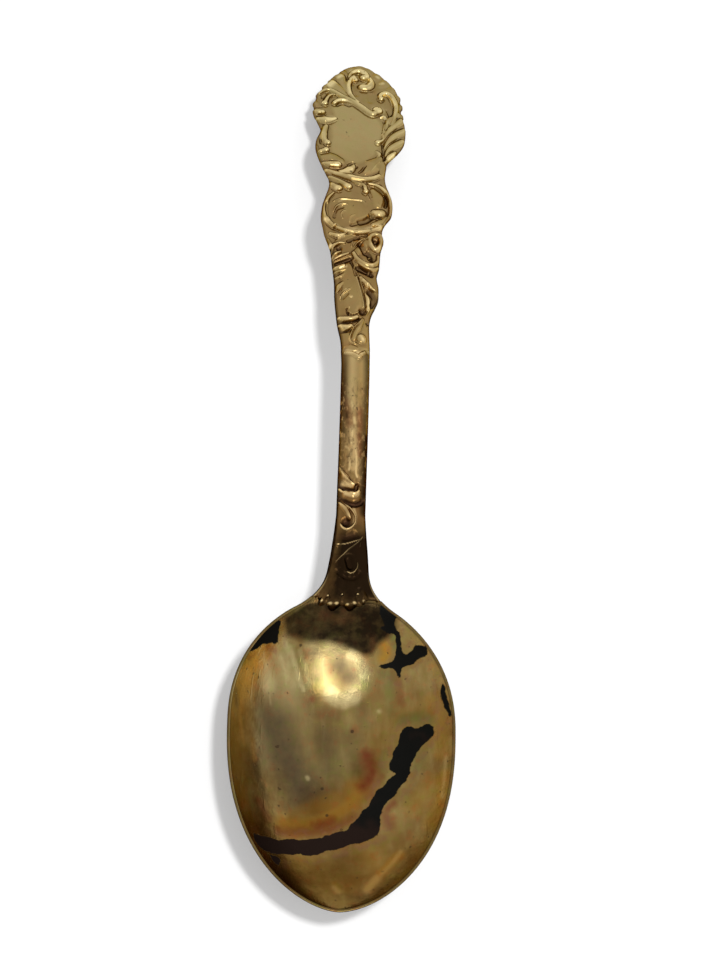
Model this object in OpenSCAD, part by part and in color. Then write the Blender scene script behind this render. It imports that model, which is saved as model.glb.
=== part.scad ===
// Die-struck teaspoon with a scrolled handle.
// The bowl opens upwards, the handle runs along +Y, and the spoon rests on z = 0,
// on a worn flat under the bowl and on the tip of the handle.
// The real spoon is struck from one blank. Each node is one region of it, and
// neighbouring regions meet face to face where the form changes.

/* [Overall] */
// Length of the spoon, bowl tip to handle tip
overall_l = 140; // [125:1:160]

/* [Bowl] */
// Width of the bowl across its rim
bowl_w = 32.4; // [28:0.5:36]
// Length of the bowl, tip to shoulder
bowl_l = 42.6; // [39:0.2:46]
// Length from the tip to the widest place
bowl_front_l = 25.8; // [23:0.2:28]
// Length that the oval of the rim would run on past the shoulder
oval_overrun = 2.2; // [1.5:0.1:3]
// Length that the hollow would run on past the shoulder
hollow_overrun = 1.3; // [1:0.1:2]
// Depth of the hollow below the rim at the widest place
bowl_d = 7.8; // [6:0.1:9]
// Wall at the bottom of the bowl
bowl_wall = 1; // [0.8:0.1:1.4]
// Width of the rim
rim_t = 0.8; // [0.6:0.05:1.1]
// Height of the rounding on top of the rim
rim_round = 0.1; // [0.05:0.01:0.15]
// How far the rim drops from the widest place to the tip
tip_drop = 0.5; // [0:0.1:1.2]
// How far the rim rises from the widest place to the shoulder
shoulder_rise = 0.7; // [0:0.1:1.5]
// Depth worn off the underside of the bowl, which makes the flat that it rests on
rest_wear = 0.1; // [0.08:0.01:0.15]
// Length of the heel under the bowl
heel_l = 9; // [6:0.5:12]
// Half width of the heel at the shoulder
heel_half = 4.6; // [3.5:0.1:5]
// Thickness of the heel at the shoulder
heel_t = 0.7; // [0.4:0.05:0.9]

/* [Shoulder] */
// Length of the shoulder, where the shell fans out
shoulder_l = 5.4; // [4.5:0.1:7]
// Length over which the neck flares into the shoulder
flare_l = 13; // [10:0.5:16]
// Metal under the shell, from its field to the back
shoulder_t = 2; // [1.6:0.1:2.6]
// Height of the shell above its field
shell_h = 0.55; // [0.3:0.05:0.8]
// Count of lobes in the shell
shell_lobes = 6; // [4:1:8]
// Distance of the lobes' centres behind the edge of the shoulder
lobe_back = 0.95; // [0.8:0.05:1.3]
// Radius of the small beads between the lobes
small_bead_r = 0.15; // [0.1:0.01:0.2]

/* [Neck and stem] */
// Length of the scrolled neck
neck_l = 17; // [14:0.5:19]
// Metal of the neck, from its field to the back
neck_t = 2.1; // [1.7:0.1:2.6]
// Crown of the neck across its width
neck_crown = 0.55; // [0.3:0.05:0.8]
// Height of the scrolls on the neck
neck_relief = 0.4; // [0.25:0.05:0.6]
// Width of the stem
stem_w = 4.3; // [3.6:0.1:5]
// Metal of the stem, from its crest to the back
stem_t = 2; // [1.7:0.1:2.6]
// Crown of the stem across its width
stem_crown = 0.95; // [0.6:0.05:1.2]
// How far the stem lies below the crest of the ornament
stem_sink = 0.25; // [0.15:0.05:0.4]
// Width of the collar at the top of the stem
collar_w = 0.9; // [0.6:0.1:1.2]
// Height of the collar above the stem
collar_h = 0.35; // [0.2:0.05:0.5]
// How far the middle of the collar dips towards the bowl
collar_dip = 0.9; // [0.4:0.1:1.2]

/* [Leaf sheath] */
// Length of the leaf sheath
sheath_l = 21.4; // [18:0.2:25]
// Width of the leaf sheath at its middle
sheath_w = 8; // [6.5:0.1:9]
// Metal of the sheath, from its field to the back
sheath_t = 1.8; // [1.4:0.1:2.4]
// Crown of the sheath across its width
sheath_crown = 0.75; // [0.4:0.05:1]
// Height of the leaves above the sheath's field
leaf_relief = 0.6; // [0.4:0.05:0.8]

/* [Roundel] */
// Length of the roundel
roundel_l = 10.2; // [9:0.2:12]
// Width of the roundel
roundel_w = 11.2; // [9.5:0.1:13]
// Metal of the roundel, from its field to the back
roundel_t = 1.5; // [1.2:0.1:2]
// Height of the ring and the shell above the roundel's field
roundel_relief = 0.7; // [0.5:0.05:0.9]

/* [Terminal] */
// Length of the terminal
terminal_l = 26.4; // [23:0.2:30]
// Width of the terminal, which its outline and ornament take their shares from
terminal_w = 15; // [13:0.1:17]
// Metal of the terminal, from its field to the back
terminal_t = 1.4; // [1.2:0.1:1.8]
// Crown of the roundel and the terminal across their width
plate_crown = 0.15; // [0.05:0.05:0.3]
// Height of the scrolls above the terminal's field
scroll_h = 0.75; // [0.5:0.05:1]
// Height of the bare reserve above the terminal's field
reserve_h = 0.2; // [0.1:0.05:0.3]
// Radius of the lobes along the terminal's edge
edge_lobe_r = 0.42; // [0.35:0.01:0.5]

/* [Side profile] */
// Height of the two middle control points that arch the handle
arch_h = 15.3; // [13:0.1:18]

/* [Mesh] */
// Columns across the bowl
bowl_cols = 22; // [16:2:32]
// Rows along each half of the bowl
bowl_rows = 12; // [8:1:18]
// Columns across the handle
handle_cols = 8; // [6:2:12]
// Steps between two points of a scroll
scroll_steps = 2; // [2:1:5]
// Sides of a pearl
pearl_sides = 8; // [6:1:16]

/* [Hidden] */

bright = [0.80, 0.69, 0.42];
gilt = [0.72, 0.60, 0.34];
dull = [0.55, 0.43, 0.22];

// Places along the spoon
tip_y = -overall_l / 2;
end_y = overall_l / 2;
wide_y = tip_y + bowl_front_l;
shoulder_y = tip_y + bowl_l;
neck_y = shoulder_y + shoulder_l;
stem_y = neck_y + neck_l;
terminal_y = end_y - terminal_l;
roundel_y = terminal_y - roundel_l;
sheath_y = roundel_y - sheath_l;
handle_l = end_y - shoulder_y;
stem_end_y = sheath_y - 2 * collar_w;

// Bowl: the rim is an oval, |x/half|^n + |y/length|^m = 1, and each cross-section sinks below
// it by the same smooth curve
side_share = 1.7;
front_share = 2.4;
back_share = 2.34;
hollow_share = 2.5;
cross_share = 2.5;
rim_mid = bowl_d + bowl_wall;
seat_gap = 0.01;

function clamp(v, low, high) = min(max(v, low), high);
function mix(a, b, t) = a + (b - a) * t;
function run_share(y, inset, overrun) = y < wide_y
    ? (wide_y - y) / (bowl_front_l - inset)
    : (y - wide_y) / (bowl_l - bowl_front_l + overrun - inset);
function bowl_half(y, inset) = (bowl_w / 2 - inset)
    * pow(max(0, 1 - pow(run_share(y, inset, oval_overrun), y < wide_y ? front_share : back_share)),
        1 / side_share);
function sink(y, inset) = 1 - pow(min(1, run_share(y, inset, hollow_overrun)), hollow_share);
function rim_z(y) = y < wide_y
    ? rim_mid - tip_drop * pow((wide_y - y) / bowl_front_l, 2)
    : rim_mid + shoulder_rise * pow((y - wide_y) / (shoulder_y - wide_y), 2);
function sunk_z(x, y, inset, depth) = rim_z(y)
    - depth * sink(y, inset) * (1 - pow(min(1, abs(x) / bowl_half(y, inset)), cross_share));
function inner_z(x, y) = sunk_z(x, y, rim_t, bowl_d);
function outer_z(x, y) = max(0, sunk_z(x, y, 0, rim_mid + rest_wear));

// Rows run from the tip, where the first one is a point, to the shoulder
function row_y(i, inset) = i <= bowl_rows
    ? wide_y - (bowl_front_l - inset) * cos(90 * i / bowl_rows)
    : mix(wide_y, shoulder_y, (i - bowl_rows) / bowl_rows);
function col_x(j, half) = half * sin(mix(-90, 90, j / bowl_cols));

function inner_row(i) = let (y = row_y(i, rim_t), half = bowl_half(y, rim_t))
    [for (j = [0:bowl_cols]) let (x = col_x(j, half)) [x, y, inner_z(x, y)]];
function outer_row(i) = let (y = row_y(i, 0), half = bowl_half(y, 0))
    [for (j = [0:bowl_cols]) let (x = col_x(bowl_cols - j, half)) [x, y, outer_z(x, y)]];
function rim_point(a, b) = (a + b) / 2 + [0, 0, rim_round];
function shell_row(i) = let (inner = inner_row(i), outer = outer_row(i), last = bowl_cols)
    concat(inner, [rim_point(inner[last], outer[0])], outer,
        [rim_point(outer[last], inner[0])]);

function solid_face(f) = f[0] != f[1] && f[1] != f[2] && f[0] != f[2];
function ring_faces(rows, n, spot) = [for (i = [0:rows - 2], j = [0:n - 1], half = [0, 1])
    let (k = (j + 1) % n, a = spot(i, j), b = spot(i, k), c = spot(i + 1, k), d = spot(i + 1, j))
    let (f = half == 0 ? [a, b, c] : [a, c, d]) if (solid_face(f)) f];

// Ends of a loft: a fan from the first point, or a strip across a thin curved section
function fan(n) = [for (j = [1:n - 2]) [0, j + 1, j]];
function strip(n) = [for (j = [0:n / 2 - 2], half = [0, 1])
    half == 0 ? [j, n - 1 - j, n - 2 - j] : [j, n - 2 - j, j + 1]];
function shifted(faces, by) = [for (f = faces) [for (v = f) v + by]];
function flipped(faces) = [for (f = faces) [f[0], f[2], f[1]]];

// A loft through rings of points, as [points, faces]
function lofted(rings, thin = false) =
    let (n = len(rings[0]), m = len(rings), cap = thin ? strip(n) : fan(n))
    [[for (r = rings, p = r) p], concat(ring_faces(m, n, function (i, j) i * n + j), cap,
        shifted(flipped(cap), (m - 1) * n))];
module show(mesh) {
    polyhedron(mesh[0], mesh[1], convexity = 6);
}
// Several separate lofts as one
module show_all(meshes) {
    starts = [for (k = 0, at = 0; k < len(meshes); at = at + len(meshes[k][0]), k = k + 1) at];
    polyhedron([for (m = meshes) each m[0]],
        [for (k = [0:len(meshes) - 1]) each shifted(meshes[k][1], starts[k])], convexity = 6);
}

module bowl() {
    rows = 2 * bowl_rows + 1;
    half_n = bowl_cols + 2;
    n = 2 * half_n;
    tips = [[0, tip_y + rim_t, rim_z(tip_y + rim_t)],
        [0, tip_y, rim_z(tip_y)],
        [0, tip_y + rim_t / 2, rim_z(tip_y) + rim_round]];
    spot = function (i, j) i > 0 ? 3 + (i - 1) * n + j
        : j <= bowl_cols ? 0 : j == half_n - 1 || j == n - 1 ? 2 : 1;
    points = concat(tips, [for (i = [1:rows - 1]) each shell_row(i)]);
    last = rows - 1;
    flat_end = [for (j = [0:bowl_cols - 1], half = [0, 1])
        let (a = spot(last, j), b = spot(last, j + 1))
        let (c = spot(last, n - 2 - j - 1), d = spot(last, n - 2 - j))
        half == 0 ? [a, b, c] : [a, c, d]];
    rim_ends = [[spot(last, bowl_cols), spot(last, half_n - 1), spot(last, half_n)],
        [spot(last, n - 2), spot(last, n - 1), spot(last, 0)]];
    color(bright)
        polyhedron(points, concat(ring_faces(rows, n, spot), flat_end, rim_ends), convexity = 6);
}

// The heel is a thin tongue on the back of the bowl
heel_steps = 8;
heel_cols = 8;
heel_round_share = 1.7;
heel_thin_share = 1.3;
heel_edge_share = 0.08;
heel_end_share = 0.1;

function heel_y(i) = shoulder_y - heel_l * i / heel_steps;
function heel_left_share(i) = mix(1, heel_end_share, i / heel_steps);
function heel_w(i) = heel_half * sqrt(1 - pow(1 - heel_left_share(i), heel_round_share));
function heel_low(i, s) = heel_t * pow(heel_left_share(i), heel_thin_share)
    * mix(1, heel_edge_share, s * s);
function heel_ring(i) = let (y = heel_y(i), half = heel_w(i))
    let (ss = [for (j = [0:heel_cols]) 2 * j / heel_cols - 1])
    concat([for (s = ss) [half * s, y, outer_z(half * s, y) - seat_gap]],
        [for (s = ss) [-half * s, y, outer_z(half * s, y) - seat_gap - heel_low(i, s)]]);

module bowl_heel() {
    color(gilt)
        show(lofted([for (i = [0:heel_steps]) heel_ring(heel_steps - i)], thin = true));
}

// Handle outline: shares of each region's length, and of half its width
sheath_left_shares = [[0.02, 0.56], [0.1, 0.6], [0.2, 0.72], [0.3, 0.79], [0.42, 0.85],
    [0.55, 0.87], [0.66, 0.94], [0.8, 1.03], [0.87, 1.15], [0.94, 1.28]];
sheath_right_shares = [[0.02, 0.54], [0.12, 0.52], [0.23, 0.51], [0.3, 0.58], [0.37, 0.73],
    [0.43, 0.84], [0.53, 0.86], [0.62, 0.79], [0.7, 0.88], [0.84, 0.94], [0.92, 1.04], [0.98, 0.99]];
roundel_left_shares = [[0, 0.96], [0.15, 1.01], [0.3, 1], [0.45, 0.96], [0.62, 0.87],
    [0.78, 0.79], [0.92, 0.78]];
roundel_right_shares = [[0.06, 0.72], [0.16, 0.8], [0.29, 0.95], [0.42, 1], [0.6, 1],
    [0.76, 0.95], [0.92, 0.86]];
terminal_left_shares = [[0.04, 0.68], [0.1, 0.76], [0.16, 0.83], [0.22, 0.86], [0.29, 0.83],
    [0.345, 0.76], [0.375, 0.74], [0.42, 0.79], [0.49, 0.88], [0.565, 0.9], [0.64, 0.85],
    [0.715, 0.75], [0.805, 0.56], [0.89, 0.36], [0.95, 0.2], [0.985, 0.02], [1, -0.12]];
terminal_right_shares = [[0.03, 0.62], [0.1, 0.65], [0.15, 0.69], [0.235, 0.91], [0.305, 1.05],
    [0.38, 1.11], [0.45, 1.12], [0.52, 1.11], [0.59, 1.09], [0.66, 1.1], [0.74, 1.07],
    [0.81, 0.99], [0.88, 0.84], [0.95, 0.6], [0.985, 0.42], [1, 0.28]];

function placed(shares, y, l, half) = [for (p = shares) [y + l * p[0], half * p[1]]];
function ornament_side(sheath, round, end) = concat(
    placed(sheath, sheath_y, sheath_l, sheath_w / 2),
    placed(round, roundel_y, roundel_l, roundel_w / 2),
    placed(end, terminal_y, terminal_l, terminal_w / 2));
left_side = ornament_side(sheath_left_shares, roundel_left_shares, terminal_left_shares);
right_side = ornament_side(sheath_right_shares, roundel_right_shares, terminal_right_shares);

// A smooth curve through a table of [place, value]
function slope_at(t, k) = k == 0 || k == len(t) - 1 ? 0
    : (t[k + 1][1] - t[k - 1][1]) / (t[k + 1][0] - t[k - 1][0]);
function ease(a, b, h, u, m0, m1) = let (v = 1 - u)
    a * v * v * (1 + 2 * u) + b * u * u * (3 - 2 * u) + h * u * v * (m0 * v - m1 * u);
function smooth(y, t) = y <= t[0][0] ? t[0][1] : y >= t[len(t) - 1][0] ? t[len(t) - 1][1]
    : let (k = max([for (i = [0:len(t) - 2]) if (y >= t[i][0]) i]), h = t[k + 1][0] - t[k][0])
      ease(t[k][1], t[k + 1][1], h, (y - t[k][0]) / h, slope_at(t, k), slope_at(t, k + 1));

shoulder_half = bowl_half(shoulder_y, 0);
flare_share = 2.8;

function neck_half(y) = stem_w / 2
    + (shoulder_half - stem_w / 2) * pow(clamp(1 - (y - shoulder_y) / flare_l, 0, 1), flare_share);
function stem_side(y, side) = mix(neck_half(y), side[0][1],
    clamp((y - stem_end_y) / (sheath_y - stem_end_y), 0, 1));
function left_at(y) = y < sheath_y ? stem_side(y, left_side) : smooth(y, left_side);
function right_at(y) = y < sheath_y ? stem_side(y, right_side) : smooth(y, right_side);
function half_at(y) = (left_at(y) + right_at(y)) / 2;
function mid_at(y) = (right_at(y) - left_at(y)) / 2;

// Height of the ornament over the field, crown and metal, along the handle
relief_table = [[shoulder_y, shell_h], [neck_y, neck_relief], [mix(neck_y, stem_y, 0.8), neck_relief],
    [stem_y, stem_sink], [stem_end_y, stem_sink], [sheath_y + collar_w, leaf_relief],
    [roundel_y, roundel_relief], [terminal_y, scroll_h], [end_y, scroll_h]];
crown_table = [[shoulder_y, 0], [neck_y, neck_crown], [stem_y, stem_crown],
    [stem_end_y, stem_crown], [sheath_y + collar_w, sheath_crown],
    [mix(sheath_y, roundel_y, 0.75), sheath_crown], [roundel_y, plate_crown], [end_y, plate_crown]];
metal_table = [[shoulder_y, shoulder_t], [neck_y, neck_t], [stem_y, stem_t],
    [stem_end_y, stem_t], [mix(sheath_y, roundel_y, 0.5), sheath_t], [roundel_y, roundel_t],
    [terminal_y, terminal_t], [end_y, terminal_t]];

start_crest = rim_z(shoulder_y) + shell_h;
end_crest = terminal_t + scroll_h;
function crest_z(y) = let (u = (y - shoulder_y) / handle_l, v = 1 - u)
    start_crest * v * v * v + 3 * arch_h * u * v + end_crest * u * u * u;
function field_z(y) = crest_z(y) - lookup(y, relief_table);
function back_z(y) = field_z(y) - lookup(y, metal_table);
function across(x, y) = clamp((x - mid_at(y)) / half_at(y), -1, 1);
function top_z(x, y) = field_z(y) - lookup(y, crown_table) * pow(across(x, y), 2);

// One cross-section of the handle: crowned top, rounded lower edges, flat back
back_width_share = 0.8;
edge_share = 0.4;
function section(y) = let (half = half_at(y), mid = mid_at(y), low = back_z(y))
    let (edge = low + edge_share * (top_z(mid + half, y) - low))
    concat([[mid - half * back_width_share, y, low], [mid - half, y, edge]],
        [for (j = [0:handle_cols]) let (x = mid + half * sin(mix(-90, 90, j / handle_cols)))
            [x, y, top_z(x, y)]],
        [[mid + half, y, edge], [mid + half * back_width_share, y, low]]);
module handle_part(ys) {
    show(lofted([for (y = ys) section(y)]));
}
function even(a, b, n) = [for (i = [0:n]) mix(a, b, i / n)];

module shoulder_core() {
    handle_part(even(shoulder_y, neck_y, 6));
}
module neck_core() {
    handle_part(even(neck_y, stem_y, 12));
}
module stem_core() {
    handle_part(concat(even(stem_y, stem_end_y, 8), even(sheath_y - collar_w, sheath_y, 1)));
}
module sheath_core() {
    handle_part(concat([sheath_y], even(sheath_y + collar_w, roundel_y, 20)));
}
module roundel_core() {
    handle_part(even(roundel_y, terminal_y, 12));
}
module terminal_core() {
    steps = 30;
    handle_part([for (i = [0:steps]) mix(terminal_y, end_y, sin(90 * i / steps))]);
}

// Scrolls: a smooth stroke through a few points, with a ridged section that swells and tapers,
// and that may end in a round bulb
flank_share = 0.34;
flank_h_share = 0.72;
tail_share = 0.45;
bulb_shares = [-0.8, -0.2, 0.45, 0.85, 0.98];

function curve_point(p, k, u) = let (a = p[max(0, k - 1)], b = p[k], c = p[k + 1])
    let (d = p[min(len(p) - 1, k + 2)])
    0.5 * (2 * b + (c - a) * u + (2 * a - 5 * b + 4 * c - d) * u * u
        + (3 * b - a - 3 * c + d) * u * u * u);
function curve(p) = concat(
    [for (k = [0:len(p) - 2], i = [0:scroll_steps - 1]) curve_point(p, k, i / scroll_steps)],
    [p[len(p) - 1]]);
function lengths(c) = [for (i = 0, l = 0; i < len(c);
    l = l + (i < len(c) - 1 ? norm(c[i + 1] - c[i]) : 0), i = i + 1) l];
function heading(c, i) = let (d = c[min(len(c) - 1, i + 1)] - c[max(0, i - 1)]) d / norm(d);
function on_top(p, h) = [p[0], p[1], top_z(p[0], p[1]) + seat_gap + h];
function stroke_ring(p, d, w, h) = let (side = [d[1], -d[0]] * w)
    [on_top(p - side / 2, 0), on_top(p + side / 2, 0), on_top(p + side * flank_share, h * flank_h_share),
        on_top(p, h), on_top(p - side * flank_share, h * flank_h_share)];

// widths are those at the start, the middle and the end. The bulb lies round the last point.
function stroke(p, widths, bulb, h) =
    let (c = curve(p), n = len(c) - 1, ls = lengths(c), l = ls[n], end = heading(c, n))
    let (table = [[0, widths[0]], [l / 2, widths[1]], [l, widths[2]]])
    let (full = max(max(widths), 2 * bulb))
    lofted(concat(
        [for (i = [0:n]) if (bulb == 0 || ls[i] < l - bulb) let (w = lookup(ls[i], table))
            stroke_ring(c[i], heading(c, i), w, h * mix(tail_share, 1, w / full))],
        bulb == 0 ? [] : [for (s = bulb_shares)
            stroke_ring(c[n] + end * bulb * s, end, 2 * bulb * sqrt(1 - s * s),
                h * (s < 0.9 ? 1 : tail_share))]));

pearl_rings = [[1, 0], [0.9, 0.5], [0.5, 1]];
function pearl(p, r, h) = lofted([for (s = pearl_rings)
    [for (k = [0:pearl_sides - 1]) let (a = -360 * k / pearl_sides)
        on_top(p + r * s[0] * [cos(a), sin(a)], h * s[1])]]);

// The relief of a region: [points, widths, bulb, height] for a stroke, [point, radius, height]
// for a pearl. Points and widths are shares of the region's length and of half its width.
function strokes_on(y, l, half, h, table) = [for (s = table)
    stroke([for (p = s[0]) [half * p[0], y + l * p[1]]], half * s[1], half * s[2], h * s[3])];
function pearls_on(y, l, half, h, table) = [for (s = table)
    pearl([half * s[0][0], y + l * s[0][1]], half * s[1], h * s[2])];

// The shell on the shoulder: flutes that fan out from the neck, each ending in a lobe
shell_top_share = 0.4;
flute_width_shares = [0.22, 0.5, 0.74];
lobe_share = 0.46;
bead_side_share = 0.9;
bend_share = 0.65;
module shoulder_shell() {
    y = shoulder_y + lobe_back;
    half = neck_half(y);
    pitch = 2 * half / shell_lobes;
    top_half = neck_half(neck_y) * shell_top_share;
    gaps = [for (i = [1:shell_lobes - 1]) 2 * i / shell_lobes - 1];
    sides = [for (i = [1:shell_lobes]) (2 * i - 1) / shell_lobes - 1];
    bead_y = y + pitch * lobe_share + small_bead_r;
    color(gilt)
        show_all(concat(
            [for (s = sides) stroke(
                [[top_half * s, neck_y],
                    [mix(half, top_half, bend_share) * s, (y + neck_y) / 2], [half * s, y]],
                pitch * flute_width_shares, pitch * lobe_share, shell_h)],
            [for (s = gaps) pearl([half * s * bead_side_share, bead_y - pitch / 2],
                small_bead_r, shell_h)]));
}

// Shares of the neck's length and of half the stem's width
neck_strokes = [
    [[[-0.78, 0.955], [-0.62, 0.875], [-0.38, 0.83], [-0.1, 0.81], [0.2, 0.79]],
        [0.1, 0.3, 0.36], 0.19, 1],
    [[[-0.82, 0.75], [-0.48, 0.73], [-0.04, 0.71], [0.28, 0.69], [0.56, 0.715], [0.6, 0.75]],
        [0.1, 0.28, 0.1], 0, 0.9],
    [[[-0.76, 0.66], [-0.2, 0.6], [0.24, 0.53], [0.36, 0.465], [0.18, 0.41], [-0.16, 0.4],
        [-0.46, 0.42]], [0.1, 0.26, 0.18], 0.12, 1],
    [[[-0.66, 0.61], [-0.42, 0.57], [-0.22, 0.525], [-0.2, 0.495]], [0.1, 0.22, 0.3], 0.17, 0.7],
    [[[0.9, 0.33], [0.5, 0.29], [-0.05, 0.265], [-0.75, 0.25]], [0.08, 0.2, 0.08], 0, 0.9],
    [[[0.55, 0.25], [-0.1, 0.17], [-0.8, 0.08]], [0.1, 0.26, 0.1], 0, 0.9],
    [[[0.95, 0.3], [0.85, 0.235], [0.84, 0.15], [0.8, 0.08], [0.55, 0.04], [0.12, 0.035]],
        [0.1, 0.26, 0.2], 0.13, 1]];
module neck_scrolls() {
    color(gilt)
        show_all(strokes_on(neck_y, neck_l, stem_w / 2, neck_relief, neck_strokes));
}

// The collar: a ridge across the top of the stem that dips towards the bowl
collar_side_share = 0.94;
collar_place_shares = [-1, -0.5, 0, 0.5, 1];
collar_width_shares = [0.7, 1, 0.7];
module stem_collar() {
    y = sheath_y - collar_w / 2;
    half = half_at(y) * collar_side_share;
    places = [for (s = collar_place_shares) [half * s, y - collar_dip * (1 - s * s)]];
    color(gilt)
        show(stroke(places, collar_w * collar_width_shares, 0, collar_h));
}

// Shares of the sheath's length and of half its width
sheath_strokes = [
    [[[-0.12, 0.94], [-0.13, 0.79], [-0.08, 0.65], [0.06, 0.545], [0.21, 0.465], [0.32, 0.39],
        [0.33, 0.325]], [0.08, 0.12, 0.1], 0, 1],
    [[[-0.03, 0.5], [0.02, 0.41], [0.02, 0.35], [-0.1, 0.305], [-0.28, 0.315]],
        [0.06, 0.1, 0.08], 0.08, 0.9],
    [[[-0.86, 0.92], [-0.9, 0.845], [-0.8, 0.79], [-0.62, 0.8], [-0.36, 0.86]],
        [0.14, 0.2, 0.16], 0.1, 0.9],
    [[[-0.78, 0.71], [-0.56, 0.705], [-0.32, 0.695]], [0.12, 0.22, 0.2], 0.12, 1],
    [[[-0.82, 0.655], [-0.6, 0.655], [-0.34, 0.645]], [0.1, 0.2, 0.1], 0, 0.7],
    [[[-0.76, 0.5], [-0.7, 0.53], [-0.52, 0.57]], [0.08, 0.16, 0.08], 0, 0.8],
    [[[-0.58, 0.42], [-0.55, 0.455], [-0.43, 0.49], [-0.28, 0.505]], [0.08, 0.14, 0.08], 0, 0.9],
    [[[-0.78, 0.44], [-0.72, 0.37], [-0.58, 0.33]], [0.1, 0.18, 0.1], 0, 0.7],
    [[[-0.36, 0.44], [-0.28, 0.4], [-0.32, 0.365]], [0.08, 0.2, 0.08], 0, 0.5],
    [[[0.4, 0.957], [0.74, 0.957], [0.9, 0.925], [0.84, 0.88], [0.64, 0.878]],
        [0.1, 0.16, 0.18], 0.12, 1],
    [[[0.22, 0.785], [0.35, 0.75], [0.57, 0.73], [0.8, 0.765]], [0.1, 0.18, 0.1], 0, 1],
    [[[0.14, 0.61], [0.35, 0.58], [0.58, 0.54]], [0.1, 0.24, 0.1], 0, 0.9],
    [[[0.36, 0.51], [0.5, 0.45], [0.5, 0.4], [0.45, 0.345]], [0.1, 0.2, 0.1], 0, 1],
    [[[0.74, 0.53], [0.76, 0.46], [0.66, 0.38], [0.53, 0.315]], [0.08, 0.13, 0.08], 0, 0.8],
    [[[-0.6, 0.26], [-0.38, 0.258], [-0.12, 0.268]], [0.12, 0.22, 0.2], 0.12, 0.9],
    [[[-0.56, 0.18], [-0.4, 0.18], [-0.18, 0.2]], [0.12, 0.2, 0.16], 0.09, 0.8],
    [[[0.3, 0.285], [0.05, 0.215], [-0.1, 0.16], [-0.12, 0.11], [-0.03, 0.077], [0.12, 0.068]],
        [0.08, 0.13, 0.1], 0, 0.8]];
sheath_pearls = [[[0.27, 0.12], 0.1, 0.9]];
module sheath_leaves() {
    half = sheath_w / 2;
    color(gilt)
        show_all(concat(strokes_on(sheath_y, sheath_l, half, leaf_relief, sheath_strokes),
            pearls_on(sheath_y, sheath_l, half, leaf_relief, sheath_pearls)));
}

// Shares of the roundel's length and of half its width. The ring is open at the top left.
ring_strokes = [
    [[[-0.62, 0.7], [-0.8, 0.585], [-0.87, 0.42], [-0.86, 0.27], [-0.76, 0.15], [-0.52, 0.08],
        [-0.18, 0.05], [0.17, 0.055], [0.5, 0.12], [0.74, 0.225], [0.88, 0.39], [0.9, 0.56],
        [0.86, 0.71], [0.76, 0.84], [0.58, 0.915], [0.4, 0.945]], [0.08, 0.17, 0.08], 0, 1],
    [[[-0.7, 0.785], [-0.59, 0.82], [-0.45, 0.83]], [0.08, 0.15, 0.15], 0.08, 0.9],
    [[[-0.4, 0.92], [-0.31, 0.905], [-0.19, 0.875]], [0.08, 0.16, 0.16], 0.09, 1]];
module roundel_ring() {
    color(bright)
        show_all(strokes_on(roundel_y, roundel_l, roundel_w / 2, roundel_relief, ring_strokes));
}

shell_strokes = [
    [[[-0.54, 0.565], [-0.42, 0.61], [-0.27, 0.615], [-0.07, 0.607], [0.1, 0.635], [0.22, 0.622],
        [0.29, 0.57]], [0.05, 0.07, 0.05], 0, 0.7],
    [[[-0.6, 0.31], [-0.58, 0.42], [-0.48, 0.48], [-0.34, 0.505]], [0.05, 0.07, 0.05], 0, 0.7],
    [[[-0.35, 0.18], [-0.41, 0.25], [-0.38, 0.34], [-0.29, 0.395]], [0.05, 0.07, 0.05], 0, 0.6],
    [[[0.39, 0.6], [0.34, 0.7], [0.27, 0.805]], [0.05, 0.13, 0.13], 0.07, 0.9],
    [[[0.55, 0.82], [0.62, 0.72], [0.65, 0.58]], [0.14, 0.26, 0.12], 0, 0.5],
    [[[-0.04, 0.2], [-0.02, 0.285], [0.1, 0.32]], [0.05, 0.08, 0.05], 0, 0.6],
    [[[0.42, 0.225], [0.54, 0.245], [0.66, 0.29]], [0.05, 0.1, 0.05], 0, 0.7]];
shell_pearls = [[[0.61, 0.4], 0.11, 0.9]];
module roundel_shell() {
    half = roundel_w / 2;
    color(dull)
        show_all(concat(strokes_on(roundel_y, roundel_l, half, roundel_relief, shell_strokes),
            pearls_on(roundel_y, roundel_l, half, roundel_relief, shell_pearls)));
}

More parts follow.
